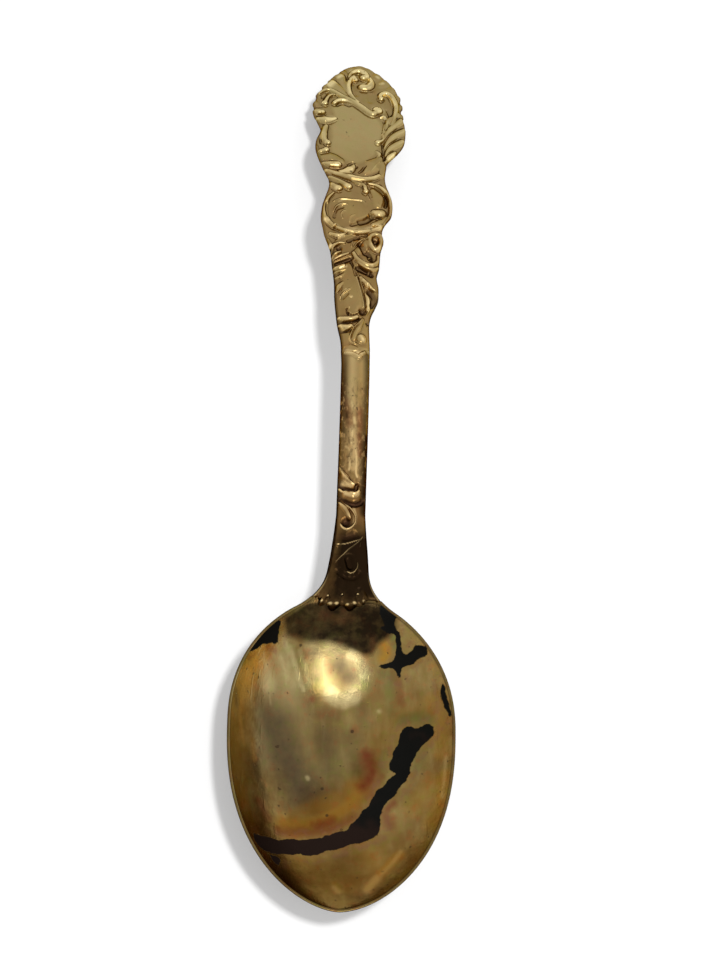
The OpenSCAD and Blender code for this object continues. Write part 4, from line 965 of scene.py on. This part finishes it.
def sunk(x, y, inset, depth):
    """The height of the bowl's surface that is sunk by a depth under its rim."""
    sink = 1 - np.minimum(1, run_share(y, inset, 1.3)) ** 2.5
    share = np.minimum(1, np.abs(x) / np.maximum(bowl_half(np.minimum(y, SHOULDER + 3), inset), 0.01))
    return rim_z(y) - depth * sink * (1 - share**2.5)


middle = np.array([0, WIDE - 1.0])
inner_line = bowl_outline(RIM_T, BACK_Y)
outer_line = bowl_outline(0, BACK_Y + 0.4)
rings = []
INNER, RIM_TURN, OUTER = 110, 10, 72
for i in range(INNER + 1):
    s = 0.004 + 0.996 * (i / INNER) ** 0.9
    p = middle + (inner_line - middle) * s
    rings.append(np.column_stack([p, sunk(p[:, 0], p[:, 1], RIM_T, DEPTH)]))
for i in range(1, RIM_TURN):
    s = i / RIM_TURN
    p = inner_line + (outer_line - inner_line) * (1 - np.cos(s * np.pi)) / 2
    rings.append(np.column_stack([p, rim_z(p[:, 1]) + 0.12 * np.sin(s * np.pi)]))
for i in range(OUTER + 1):
    s = 1 - 0.996 * (i / OUTER) ** 1.1
    p = middle + (outer_line - middle) * s
    z = sunk(p[:, 0], p[:, 1], 0, RIM_MID + WEAR)
    heel_run = np.clip((p[:, 1] - (SHOULDER - 9)) / 9, 0, 1)
    heel_half = 4.6 * np.sqrt(np.clip(1 - (1 - heel_run) ** 1.7, 0, 1)) + 0.01
    across = np.clip(1 - (np.abs(p[:, 0]) / heel_half) ** 2, 0, 1)
    z = z - 0.7 * heel_run**1.3 * across
    rings.append(np.column_stack([p, np.maximum(z, 0)]))
bowl_points = np.array(rings)
# Under the front of the shell the bowl dips, so that the two don't share a surface
shell_front = np.interp(bowl_points[..., 0], X[0], front, left=FRONT_ENDS, right=FRONT_ENDS)
under = np.clip((bowl_points[..., 1] - shell_front - 0.28) / 0.4, 0, 1)
bowl_points[: INNER + RIM_TURN + 6, :, 2] -= 0.7 * under[: INNER + RIM_TURN + 6]

# ---------------------------------------------------------------- stains, colours and painted light in the bowl
def bowl_floor(x, y):
    """The height of the hollow, held at the rim for places beyond it."""
    x = np.clip(x, -15.2, 15.2)
    return sunk(x, np.clip(y, TIP + 1, SHOULDER), RIM_T, DEPTH)


PART_G = Sheet(225, 598, 13.067, bowl_floor)
PART_H = Sheet(340, 598, 13.067, bowl_floor)
PART_I = Sheet(225, 715, 13.067, bowl_floor)
PART_J = Sheet(340, 700, 13.067, bowl_floor)
PART_K = Sheet(225, 810, 8.96, bowl_floor)
PART_L = Sheet(220, 598, 4.9, bowl_floor)
# Outlines of the black stains. The band goes down the right, along the tip and up the left
CORNER_BLOT = [(655, 270), (735, 312), (713, 420), (694, 520), (703, 595), (600, 600), (505, 602),
    (455, 636), (385, 682), (290, 714), (225, 770), (270, 690), (345, 590), (410, 500),
    (500, 395), (580, 330)]
CROSS_BLOT = [(515, 100), (580, 100), (650, 165), (722, 215), (738, 240), (715, 290), (722, 360),
    (762, 440), (790, 500), (800, 600), (822, 705), (850, 746), (900, 722), (960, 662),
    (985, 612), (1060, 618), (1110, 640), (1142, 672), (1136, 730), (1108, 776), (1040, 788),
    (1000, 812), (960, 852), (870, 886), (815, 922), (797, 980), (795, 1038), (760, 1038),
    (730, 1000), (705, 925), (640, 922), (560, 917), (490, 906), (484, 884), (530, 866),
    (600, 860), (680, 832), (706, 790), (720, 720), (736, 640), (735, 560), (715, 500),
    (680, 470), (620, 456), (560, 430), (514, 402), (526, 372), (570, 350), (562, 300), (520, 230)]
EDGE_BLOT = [(1348, 1100), (1378, 1200), (1402, 1300), (1424, 1400), (1444, 1480), (1448, 1545),
    (1428, 1560), (1398, 1500), (1366, 1430), (1340, 1340), (1322, 1240), (1320, 1150)]
BAND_RIGHT = [(875, 355), (930, 350), (965, 372), (1020, 370), (1060, 340), (1110, 320),
    (1180, 315), (1218, 345), (1226, 400), (1214, 460), (1180, 500), (1130, 550), (1080, 600),
    (1040, 660), (1000, 702), (975, 760), (940, 830), (915, 880), (914, 940), (880, 1010),
    (850, 1080), (800, 1130), (750, 1190), (738, 1230), (680, 1280), (620, 1340), (570, 1400),
    (540, 1460)]
BAND_LOW = [(1420, 0), (1398, 50), (1386, 100), (1396, 150), (1384, 200), (1330, 245),
    (1250, 275), (1170, 300), (1080, 325), (1000, 350), (920, 370), (850, 395), (760, 412),
    (700, 405), (640, 395), (560, 402), (480, 396), (420, 390), (360, 372), (300, 320),
    (255, 250), (255, 205), (300, 222), (360, 230), (420, 250), (480, 268), (560, 262),
    (620, 268), (700, 262), (790, 262), (860, 250), (940, 215), (1020, 195), (1080, 185),
    (1110, 150), (1160, 100), (1200, 60)]
BAND_LEFT = [(250, 1520), (290, 1450), (360, 1390), (400, 1330), (440, 1260), (480, 1190),
    (540, 1140), (592, 1090), (612, 1050), (660, 1020), (702, 980), (722, 960), (680, 940),
    (646, 910), (640, 840), (660, 790), (690, 740), (692, 690), (730, 620), (760, 560),
    (780, 500), (790, 440), (812, 400)]
LOW_SPOT = [(390, 390), (440, 408), (485, 420), (496, 450), (485, 490), (450, 492), (420, 450)]

BOWL_X, BOWL_Y = bowl_points[..., 0], bowl_points[..., 1]
past_inner = np.arange(len(bowl_points))[:, None] - INNER
hollow_side = past_inner[:, 0] <= 3
hollow_x, hollow_y = BOWL_X[hollow_side], BOWL_Y[hollow_side]
blots = [PART_G.places(CORNER_BLOT), PART_H.places(CROSS_BLOT), PART_H.places(EDGE_BLOT),
    np.vstack([PART_J.places(BAND_RIGHT), PART_K.places(BAND_LOW), PART_J.places(BAND_LEFT)]),
    PART_K.places(LOW_SPOT)]
stain = np.full(BOWL_X.shape, NO_STAIN)
stain[hollow_side] = np.max([inside_by(hollow_x, hollow_y, shape) for shape in blots], 0)
stain = np.clip(stain, NO_STAIN, 1.5)


def zone(rows):
    """Soft areas in the hollow of the bowl."""
    out = np.zeros(BOWL_X.shape)
    out[hollow_side] = strokes(hollow_x, hollow_y, rows)
    return out


# Painted shade under the shell; tarnish, tints, painted shade and painted highlights in the hollow
SHADE_LINE = [(300, 90), (430, 10), (600, 0), (800, 20), (860, 60), (870, 150), (830, 200),
    (775, 235), (748, 285), (700, 292), (645, 270), (595, 240), (520, 224), (440, 226),
    (385, 212), (320, 190)]
shade_under_shell = np.zeros(BOWL_X.shape)
in_shade = inside_by(hollow_x, hollow_y, PART_L.places(SHADE_LINE))
shade_under_shell[hollow_side] = np.clip((in_shade + 0.25) / 0.9, 0, 1)
# Painted shade: darker patches of the reflection in the hollow
BOWL_SHADE = zone([
    (PART_H, [(60, 250), (160, 330), (200, 480)], 240, 0.25),
    (PART_I, [(400, 640), (450, 850), (520, 1050)], 60, 0.4),
    (PART_L, [(1060, 1070), (990, 1180), (880, 1290)], 20, 0.12),
    (PART_G, [(140, 1200), (155, 1400)], 30, 0.7),
    (PART_K, [(1000, 770), (1250, 780)], 50, 0.3),
    (PART_K, [(500, 560), (800, 620), (1100, 560)], 200, 0.34),
    (PART_I, [(900, 1350), (1150, 1300)], 200, 0.25),
    (PART_H, [(1000, 250), (1150, 450), (1250, 600)], 200, 0.22),
    (PART_J, [(1000, 900), (900, 1300)], 200, 0.16),
])
# Amber tarnish, with painted orange reflections down the walls
AMBER = zone([
    (PART_G, [(215, 1330), (222, 1480)], 30, 0.8),
    (PART_I, [(200, 20), (205, 180), (228, 330)], 30, 0.6),
    (PART_I, [(360, 330), (385, 580)], 36, 0.6),
    (PART_G, [(740, 560), (720, 660)], 40, 0.25),
    (PART_H, [(590, 620), (600, 740), (560, 790)], 60, 1.0),
    (PART_J, [(1370, 960), (1340, 1150), (1290, 1350)], 50, 0.8),
    (PART_J, [(1180, 0), (1300, 300), (1330, 700)], 90, 0.4),
    (PART_K, [(1568, 400), (1420, 540), (1280, 700)], 36, 0.85),
    (PART_K, [(980, 660), (1010, 720)], 34, 0.7),
    (PART_I, [(900, 1400), (1200, 1250), (1450, 1150)], 150, 0.45),
    (PART_K, [(600, 200), (850, 120), (1050, 50)], 100, 0.5),
    (PART_K, [(700, 500), (1000, 600), (1300, 480)], 160, 0.35),
    (PART_J, [(200, 1150), (100, 1350)], 150, 0.35),
    (PART_L, [(320, 1105), (440, 1100), (600, 1040), (690, 940)], 46, 0.7),
    (PART_L, [(1085, 900), (1090, 1000), (1045, 1100)], 40, 0.6),
    (PART_L, [(210, 244), (280, 236)], 18, 0.3),
    (PART_J, [(1200, 1100), (1000, 1400)], 160, 0.35),
])
RED = zone([
    (PART_G, [(1280, 190), (1400, 250), (1560, 300)], 50, 0.6),
    (PART_H, [(40, 200), (150, 260)], 60, 0.5),
    (PART_H, [(440, 560), (400, 660)], 50, 0.45),
    (PART_L, [(722, 775), (742, 860), (705, 925)], 34, 0.85),
    (PART_L, [(760, 880), (735, 960)], 34, 0.5),
    (PART_L, [(290, 1140), (420, 1150), (560, 1125), (655, 1075)], 26, 0.6),
    (PART_L, [(785, 1050), (835, 1085)], 26, 0.55),
    (PART_L, [(850, 360), (880, 440), (890, 520)], 20, 0.35),
    (PART_L, [(500, 1240), (620, 1215), (700, 1190)], 22, 0.25),
    (PART_J, [(470, 960), (540, 1000)], 60, 0.4),
    (PART_J, [(620, 1430), (700, 1350)], 50, 0.7),
    (PART_I, [(1200, 1480), (1400, 1400)], 80, 0.7),
    (PART_I, [(760, 1530), (900, 1540)], 40, 0.6),
    (PART_I, [(440, 1130), (560, 1350)], 60, 0.5),
    (PART_G, [(560, 640), (660, 680)], 40, 0.5),
    (PART_K, [(1440, 60), (1480, 120)], 50, 0.6),
    (PART_G, [(1140, 1320)], 40, 0.6),
    (PART_J, [(160, 400)], 36, 0.4),
])
GREEN = zone([
    (PART_L, [(905, 600), (960, 590), (1020, 600)], 30, 0.8),
    (PART_L, [(975, 780), (960, 820)], 34, 0.6),
    (PART_L, [(800, 370), (840, 385)], 26, 0.6),
    (PART_L, [(830, 430), (840, 560)], 26, 0.4),
    (PART_L, [(170, 480), (190, 600), (210, 700)], 40, 0.15),
    (PART_L, [(120, 250), (95, 350), (75, 450)], 56, 0.4),
    (PART_L, [(330, 250), (420, 420)], 60, 0.3),
    (PART_L, [(690, 320), (720, 440)], 24, 0.4),
    (PART_L, [(860, 240), (850, 190)], 14, 0.8),
    (PART_L, [(800, 840), (820, 760)], 30, 0.4),
])
# Painted reflection: greyer, darker patches, and the dull middle of the painted hot spot
GREY = zone([
    (PART_I, [(650, 150), (810, 600), (950, 900), (1060, 1100)], 400, 0.9),
    (PART_I, [(1300, 300), (1350, 700)], 260, 0.6),
    (PART_L, [(585, 330), (630, 385)], 62, 0.84),
    (PART_L, [(462, 290), (470, 380)], 40, 0.45),
    (PART_L, [(640, 235), (600, 225)], 30, 0.5),
    (PART_L, [(430, 640), (440, 800), (450, 960)], 80, 0.45),
    (PART_L, [(400, 560), (560, 590)], 60, 0.35),
    (PART_K, [(500, 560), (800, 560), (1200, 500)], 130, 0.35),
    (PART_G, [(1000, 1350), (900, 1568)], 260, 0.4),
    (PART_J, [(100, 500), (200, 900)], 200, 0.45),
    (PART_J, [(250, 100), (300, 300)], 140, 0.3),
])
# Painted highlights: the hot spot and the pale reflections down the walls
BOWL_HIGHLIGHTS = zone([
    (PART_G, [(800, 590), (860, 760), (930, 950), (975, 1150)], 24, 1),
    (PART_G, [(720, 760), (780, 930), (800, 1120)], 24, 0.9),
    (PART_G, [(980, 700), (1060, 950), (1090, 1120)], 40, 0.5),
    (PART_G, [(820, 520), (900, 600)], 60, 0.35),
    (PART_G, [(1150, 620), (1250, 800), (1280, 1000), (1400, 1250)], 110, 0.8),
    (PART_G, [(1350, 620), (1500, 700)], 120, 0.95),
    (PART_H, [(100, 800), (230, 900), (300, 1050), (150, 1250)], 110, 0.95),
    (PART_G, [(700, 1100), (800, 1300)], 260, 0.55),
    (PART_L, [(66, 400), (56, 600), (76, 800), (120, 1000)], 66, 1.0),
    (PART_L, [(150, 300), (220, 400)], 90, 0.9),
    (PART_L, [(150, 450), (170, 620), (190, 780)], 60, 0.6),
    (PART_J, [(510, 150)], 36, 0.6),
    (PART_J, [(1430, 500), (1470, 800), (1430, 1150), (1350, 1500)], 30, 0.4),
])
# Painted warm shade: darker and warmer in the lower hollow and down the right wall
DEEP_SHADE = zone([
    (PART_L, [(330, 1380), (560, 1420), (800, 1380), (930, 1270)], 140, 0.85),
    (PART_L, [(960, 1250), (1050, 1080)], 120, 0.4),
    (PART_L, [(300, 1300), (560, 1300), (800, 1230)], 80, 0.75),
    (PART_L, [(190, 1080), (260, 1250)], 60, 0.3),
    (PART_L, [(1100, 500), (1110, 700), (1090, 900)], 70, 0.55),
    (PART_L, [(300, 1120), (500, 1110), (680, 1000)], 60, 0.8),
    (PART_L, [(860, 980), (960, 880), (1000, 760)], 70, 0.35),
    (PART_L, [(1000, 560), (900, 590), (800, 700), (750, 830), (680, 920), (590, 990), (460, 1020)],
        84, 0.75),
    (PART_L, [(280, 900), (300, 1000)], 80, 0.4),
])
# Painted shade under the shell, strongest right of the middle, joins the painted shade
shade = np.interp(BOWL_X, [-9, -4, 0, 6, 9], [0.84, 0.92, 0.95, 0.985, 0.92])
BOWL_SHADE = np.maximum(BOWL_SHADE * 0.9, shade_under_shell * (shade - 0.3 * np.clip(RED, 0, 1)))
# Painted highlights and glints on the walls and floor of the hollow
BOWL_GLINTS = zone([
    (PART_L, [(310, 205), (328, 270), (335, 400)], 15, 0.3),
    (PART_L, [(345, 240), (375, 340), (408, 450)], 14, 0.3),
    (PART_L, [(240, 440), (248, 520)], 9, 0.16),
    (PART_L, [(427, 880), (430, 885)], 13, 0.3),
    (PART_L, [(776, 555), (779, 558)], 9, 0.26),
    (PART_L, [(545, 475), (600, 505), (650, 485)], 34, 0.55),
    (PART_L, [(640, 275), (690, 310), (705, 380)], 24, 0.35),
    (PART_L, [(722, 1430), (745, 1400), (770, 1375)], 24, 0.3),
    (PART_L, [(770, 1385), (800, 1345), (840, 1305), (888, 1240)], 15, 0.22),
    (PART_L, [(110, 400), (115, 500), (135, 690)], 70, 0.4),
    (PART_L, [(290, 250), (330, 330), (365, 400)], 60, 0.24),
    (PART_L, [(560, 1420), (580, 1440)], 18, 0.25),
    (PART_L, [(1108, 770), (1100, 880), (1088, 980)], 9, 0.26),
    (PART_L, [(112, 450), (100, 560), (108, 640), (122, 720)], 17, 0.5),
    (PART_L, [(190, 250), (212, 320), (232, 420)], 44, 0.3),
    (PART_L, [(160, 690), (170, 790)], 9, 0.25),
])
SPECKS = [(PART_G, (440, 745), 15), (PART_G, (630, 805), 19), (PART_G, (990, 617), 22),
    (PART_G, (265, 1135), 17), (PART_G, (395, 1110), 13), (PART_G, (570, 1245), 14),
    (PART_I, (1270, 965), 26), (PART_I, (1332, 1312), 24), (PART_J, (160, 412), 30),
    (PART_J, (145, 570), 12), (PART_J, (892, 1475), 16), (PART_K, (910, 50), 16),
    (PART_K, (860, 532), 14), (PART_I, (1250, 820), 15), (PART_I, (700, 1185), 18),
    (PART_H, (415, 893), 12)]
specks = np.full(BOWL_X.shape, NO_SPECK)
for sheet, place, r in SPECKS:
    (sx, sy), = sheet.places([place])
    speck = 0.8 * sheet.mm(r) - np.hypot(hollow_x - sx, hollow_y - sy)
    specks[hollow_side] = np.maximum(specks[hollow_side], speck)
# The rim and the outer wall are painted darker and browner: painted shade
rim_share = np.where(past_inner > RIM_TURN, 0, np.clip((past_inner + 2) / 3, 0, 1))
outside = (past_inner > 7) * np.ones(BOWL_X.shape)
near_rim = np.exp(-(((past_inner - RIM_TURN) / 10) ** 2)) * outside
bowl_values = {
    "hollow": 0.5 * near_rim,
    "rub_and_highlight": np.maximum(0.06 * rim_share, BOWL_GLINTS),
    "patina_and_shade": np.where(rim_share > 0.5, BOWL_SHADE * 0.3 + 0.5, BOWL_SHADE) + 0.75 * outside,
    "amber": AMBER + 0.15 * outside,
    "red": RED,
    "grey": GREY,
    "green": GREEN,
    "field": 0.25 * outside,
    "pale_and_highlight": BOWL_HIGHLIGHTS,
    "stain": np.where(rim_share > 0.9, NO_STAIN, stain),
    "brown": np.clip((-54 - BOWL_Y) / 6, 0, 1),
    "speck": specks,
    "deep_shade": np.maximum(DEEP_SHADE, 0.6 * outside),
}
bowl = grid_mesh("bowl_shell", bowl_points, bowl_values, -facing(bowl_points))
pieces.append((bowl, ("bowl", "bowl_heel"), "bowl_gilt"))

# ---------------------------------------------------------------- materials
def feed(tree, value, slot):
    """Sets an input to a number, a colour or another node's output."""
    if isinstance(value, tuple):
        slot.default_value = (*value, 1)
    elif isinstance(value, (int, float)):
        slot.default_value = value
    else:
        tree.links.new(value, slot)


def maths(tree, kind, *values, clamp=False):
    node = tree.nodes.new("ShaderNodeMath")
    node.operation = kind
    node.use_clamp = clamp
    for slot, value in zip(node.inputs, values):
        feed(tree, value, slot)
    return node.outputs[0]


def times(tree, a, b):
    return maths(tree, "MULTIPLY", a, b)


def times_add(tree, a, b, c):
    return maths(tree, "MULTIPLY_ADD", a, b, c)


def blend(tree, share, a, b, kind="MIX"):
    """Colour a with a share of colour b."""
    node = tree.nodes.new("ShaderNodeMix")
    node.data_type, node.blend_type = "RGBA", kind
    for value, key in ((share, "Factor"), (a, "A"), (b, "B")):
        feed(tree, value, node.inputs[key])
    return node.outputs["Result"]


def attribute(tree, name):
    node = tree.nodes.new("ShaderNodeAttribute")
    node.attribute_name = name
    return node.outputs["Fac"]


def noise(tree, where, scale, detail=3.0, rough=0.55, stretch=None):
    if stretch:
        mapping = tree.nodes.new("ShaderNodeMapping")
        mapping.inputs["Scale"].default_value = stretch
        tree.links.new(where, mapping.inputs["Vector"])
        where = mapping.outputs["Vector"]
    node = tree.nodes.new("ShaderNodeTexNoise")
    node.inputs["Scale"].default_value = scale
    node.inputs["Detail"].default_value = detail
    node.inputs["Roughness"].default_value = rough
    tree.links.new(where, node.inputs["Vector"])
    return node.outputs["Fac"]


def step(tree, value, low, high):
    """Zero below low, one above high, eased between."""
    node = tree.nodes.new("ShaderNodeMapRange")
    node.interpolation_type = "SMOOTHSTEP"
    node.inputs["From Min"].default_value = low
    node.inputs["From Max"].default_value = high
    tree.links.new(value, node.inputs["Value"])
    return node.outputs["Result"]


GOLD = (0.38, 0.265, 0.085)
GOLD_PALE = (0.53, 0.41, 0.178)
GOLD_BROWN = (0.29, 0.175, 0.055)
FIELD_TONE = (0.32, 0.205, 0.10)
RUBBED_AND_HIGHLIGHT_TONE = (1.0, 0.82, 0.41)
AMBER_TONE = (0.50, 0.27, 0.04)
RED_TONE = (0.25, 0.062, 0.03)
GREY_TONE = (0.088, 0.062, 0.034)
GREEN_TONE = (0.19, 0.22, 0.065)
PATINA_AND_SHADE_TONE = (0.022, 0.014, 0.007)
HOLLOW_TONE = (0.085, 0.046, 0.026)
STAIN_TONE = (0.0125, 0.0125, 0.011)
STAIN_BROWN = (0.030, 0.018, 0.014)
WORN_DARK, WORN_PALE = (0.10, 0.05, 0.02), (0.66, 0.45, 0.19)
PIT_TONE, SPECK_TONE = (0.06, 0.035, 0.018), (0.045, 0.028, 0.016)
PINKISH, GREENISH = (1.12, 0.86, 0.86), (0.92, 1.06, 0.86)
WARM_TINT, DEEP_SHADE_TINT = (1.0, 0.84, 0.74), (0.68, 0.53, 0.34)
RAINBOW_ENDS = ((0.28, 0.21, 0.06), (0.33, 0.18, 0.045))
RAINBOW = ((0.28, (0.15, 0.19, 0.05)), (0.42, (0.28, 0.26, 0.15)), (0.58, (0.29, 0.13, 0.09)))


def tarnish_and_light_group():
    """Gilt with the tarnish, dirt, stains and wear, and the painted light and shade, that a mesh's
    attributes ask for.
    """
    tree = bpy.data.node_groups.new("Tarnished gilt and painted light", "ShaderNodeTree")
    for name in ("Mottling", "Scratches", "Sheen"):
        tree.interface.new_socket(name, in_out="INPUT", socket_type="NodeSocketFloat")
    for name, kind in (("Color", "Color"), ("Roughness", "Float"), ("Height", "Float")):
        tree.interface.new_socket(name, in_out="OUTPUT", socket_type="NodeSocket" + kind)
    given = tree.nodes.new("NodeGroupInput").outputs
    result = tree.nodes.new("NodeGroupOutput").inputs
    where = tree.nodes.new("ShaderNodeTexCoord").outputs["Object"]
    broad = noise(tree, where, 260, 2, 0.5)
    cloudy = noise(tree, where, 700, 4, 0.6)
    fine = noise(tree, where, 2600, 3, 0.6)
    drawn = noise(tree, where, 900, 3, 0.6, (1.0, 0.22, 0.6))
    worn_noise = noise(tree, where, 2100, 3, 0.65, (1.0, 0.45, 0.6))
    uneven = times(tree, maths(tree, "SUBTRACT", cloudy, 0.5), given["Mottling"])

    def patchy(name, amount=1.0, reach=0.5):
        """An attribute with cloudy edges."""
        level = attribute(tree, name)
        moved = times_add(tree, uneven, reach, level)
        gated = maths(tree, "MULTIPLY", moved, step(tree, level, 0.0, 0.25), clamp=True)
        return maths(tree, "MULTIPLY", gated, amount, clamp=True)

    color = blend(tree, step(tree, broad, 0.3, 0.75), GOLD, GOLD_BROWN)
    color = blend(tree, times(tree, step(tree, drawn, 0.4, 0.8), 0.35), color, GOLD_PALE)
    # Field tone with painted shade, pale gilt and painted highlights, painted grey reflection, tarnish
    # tints
    for name, amount, reach, tone in (
        ("field", 1, 0.5, FIELD_TONE),
        ("pale_and_highlight", 1, 0.5, GOLD_PALE),
        ("grey", 1, 0.3, GREY_TONE),
        ("amber", 1, 0.5, AMBER_TONE),
        ("green", 0.8, 0.5, GREEN_TONE),
        ("red", 1, 0.5, RED_TONE),
    ):
        color = blend(tree, patchy(name, amount, reach), color, tone)
    # Patina, and painted shade on the neck, edges and sides and in the bowl
    patina_and_shade = patchy("patina_and_shade")
    color = blend(tree, patina_and_shade, color, PATINA_AND_SHADE_TONE)
    shift = noise(tree, where, 600, 4, 0.65)
    for start, end, tint in ((0.52, 0.68, PINKISH), (0.48, 0.34, GREENISH)):
        share = times(tree, step(tree, shift, start, end), given["Sheen"])
        color = blend(tree, share, color, tint, "MULTIPLY")
    # Worn gilt, dirt in the hollows and painted shade on the sides, rubbed heights and painted
    # highlights
    worn = attribute(tree, "worn")
    worn_dark = times(tree, step(tree, worn_noise, 0.5, 0.62), worn)
    worn_pale = times(tree, step(tree, worn_noise, 0.46, 0.36), worn)
    color = blend(tree, times(tree, worn_dark, 0.5), color, WORN_DARK)
    color = blend(tree, times(tree, worn_pale, 0.6), color, WORN_PALE)
    hollow = patchy("hollow", 0.95, 0.3)
    color = blend(tree, hollow, color, HOLLOW_TONE)
    rub_and_highlight = times(tree, patchy("rub_and_highlight", 0.9, 0.35), times_add(tree, worn_dark, -0.6, 1.0))
    color = blend(tree, rub_and_highlight, color, RUBBED_AND_HIGHLIGHT_TONE)
    # The warm tint, and the painted warm shade of the bowl
    for name, tint in (("warm", WARM_TINT), ("deep_shade", DEEP_SHADE_TINT)):
        color = blend(tree, patchy(name, 1, 0.4), color, tint, "MULTIPLY")
    pits = step(tree, noise(tree, where, 1500, 1, 0.5), 0.73, 0.79)
    color = blend(tree, times(tree, pits, 0.65), color, PIT_TONE)
    # Rainbow tints round the stains, then specks, then the stains, brown towards the tip
    edge = times_add(tree, uneven, 0.8, attribute(tree, "stain"))
    halo = times(tree, step(tree, edge, -1.7, -0.4), step(tree, cloudy, 0.45, 0.62))
    halo = times(tree, halo, maths(tree, "SUBTRACT", 1.0, patina_and_shade, clamp=True))
    rainbow = tree.nodes.new("ShaderNodeValToRGB")
    elements = rainbow.color_ramp.elements
    for element, tone in zip(elements, RAINBOW_ENDS):
        element.color = (*tone, 1)
    for at, tone in RAINBOW:
        elements.new(at).color = (*tone, 1)
    swirl = times_add(tree, edge, 0.4, times_add(tree, cloudy, 1.2, 0.3))
    feed(tree, swirl, rainbow.inputs["Fac"])
    color = blend(tree, times(tree, halo, 0.55), color, rainbow.outputs["Color"])
    speck = step(tree, times_add(tree, uneven, 0.3, attribute(tree, "speck")), -0.03, 0.06)
    color = blend(tree, times(tree, speck, 0.7), color, SPECK_TONE)
    browner = step(tree, times_add(tree, attribute(tree, "brown"), 0.5, broad), 0.6, 0.95)
    stained = step(tree, edge, -0.06, 0.08)
    color = blend(tree, stained, color, blend(tree, browner, STAIN_TONE, STAIN_BROWN))
    rough = times_add(tree, cloudy, 0.16, 0.13)
    for share, more in ((patina_and_shade, 0.10), (hollow, 0.22), (stained, 0.3)):
        rough = times_add(tree, share, more, rough)
    marks = noise(tree, where, 1400, 2, 0.7, (1.0, 0.05, 0.4))
    cross = noise(tree, where, 1200, 2, 0.7, (0.07, 1.0, 0.4))
    lines = maths(tree, "ADD", step(tree, marks, 0.62, 0.7), step(tree, cross, 0.66, 0.72))
    lines = times(tree, lines, given["Scratches"])
    height = times_add(tree, broad, 2.0, times_add(tree, fine, 0.35, cloudy))
    height = maths(tree, "SUBTRACT", times_add(tree, lines, -0.5, height), pits)
    for name, value in (("Color", color), ("Roughness", rough), ("Height", height)):
        feed(tree, value, result[name])
    return tree


TARNISH_AND_LIGHT = tarnish_and_light_group()


def new_material(name):
    mat = bpy.data.materials.new(name)
    mat.use_nodes = True
    return mat, mat.node_tree, mat.node_tree.nodes["Principled BSDF"]


def make_gilt(name, mottling, scratches, sheen, bump):
    mat, tree, shader = new_material(name)
    shader.inputs["Metallic"].default_value = 1
    shader.inputs["Specular Tint"].default_value = (0.22, 0.17, 0.11, 1)
    group = tree.nodes.new("ShaderNodeGroup")
    group.node_tree = TARNISH_AND_LIGHT
    for key, value in (("Mottling", mottling), ("Scratches", scratches), ("Sheen", sheen)):
        group.inputs[key].default_value = value
    bumps = tree.nodes.new("ShaderNodeBump")
    bumps.inputs["Strength"].default_value = bump
    bumps.inputs["Distance"].default_value = 0.00004
    feed(tree, group.outputs["Height"], bumps.inputs["Height"])
    feed(tree, group.outputs["Color"], shader.inputs["Base Color"])
    feed(tree, group.outputs["Roughness"], shader.inputs["Roughness"])
    feed(tree, bumps.outputs["Normal"], shader.inputs["Normal"])
    return mat


gilts = {
    "handle_gilt": make_gilt("Handle gilt", 0.7, 0.3, 0.3, 0.5),
    "bowl_gilt": make_gilt("Bowl gilt", 1.0, 0.6, 0.8, 0.6),
}
for obj, nodes, slot in pieces:
    obj.data.materials.clear()
    obj.data.materials.append(gilts[slot])
    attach(obj, "root")
    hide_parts(*nodes)

# ---------------------------------------------------------------- floor and light
floor = add_object("Floor", flat_grid("Floor", 1, 1, 1.2))
paper, tree, shader = new_material("Paper")
shader.inputs["Base Color"].default_value = (0.62, 0.62, 0.62, 1)
shader.inputs["Roughness"].default_value = 0.9
shader.inputs["Specular IOR Level"].default_value = 0
shader.inputs["Emission Color"].default_value = (1, 1, 1, 1)
# The paper glows only where the camera or the metal sees it
path = tree.nodes.new("ShaderNodeLightPath").outputs
seen = maths(tree, "MAXIMUM", path["Is Camera Ray"], path["Is Glossy Ray"])
feed(tree, times(tree, seen, 0.25), shader.inputs["Emission Strength"])
floor.data.materials.append(paper)


def softbox(name, place, look, width, height, power):
    """A white rectangular lamp that faces a place."""
    data = bpy.data.lights.new(name, "AREA")
    data.shape = "RECTANGLE"
    data.size, data.size_y = width, height
    data.energy = power
    obj = add_object(name, data)
    away = (Vector(place) - Vector(look)).normalized()
    obj.rotation_mode = "QUATERNION"
    obj.location = place
    obj.rotation_quaternion = away.to_track_quat("Z", "Y")
    return obj


# The two softboxes are seen in the metal, and the lamp lights the paper
front_box = softbox("Front softbox", (0.135, -0.40, 0.57), (0, -0.04, 0), 0.34, 0.4, 1.1)
right_box = softbox("Right softbox", (0.5, 0.12, 0.42), (0, 0, 0), 0.6, 0.6, 0.2)
lamp = softbox("Table lamp", (0.042, -0.045, 0.45), (0, -0.03, 0), 0.05, 0.05, 1.5)
front_box.visible_diffuse = right_box.visible_diffuse = lamp.visible_glossy = False

world = bpy.data.worlds.new("Studio")
bpy.context.scene.world = world
world.use_nodes = True
background = world.node_tree.nodes["Background"]
background.inputs["Color"].default_value = (1, 1, 1, 1)
background.inputs["Strength"].default_value = 0.7
bpy.context.scene.view_settings.view_transform = "Standard"
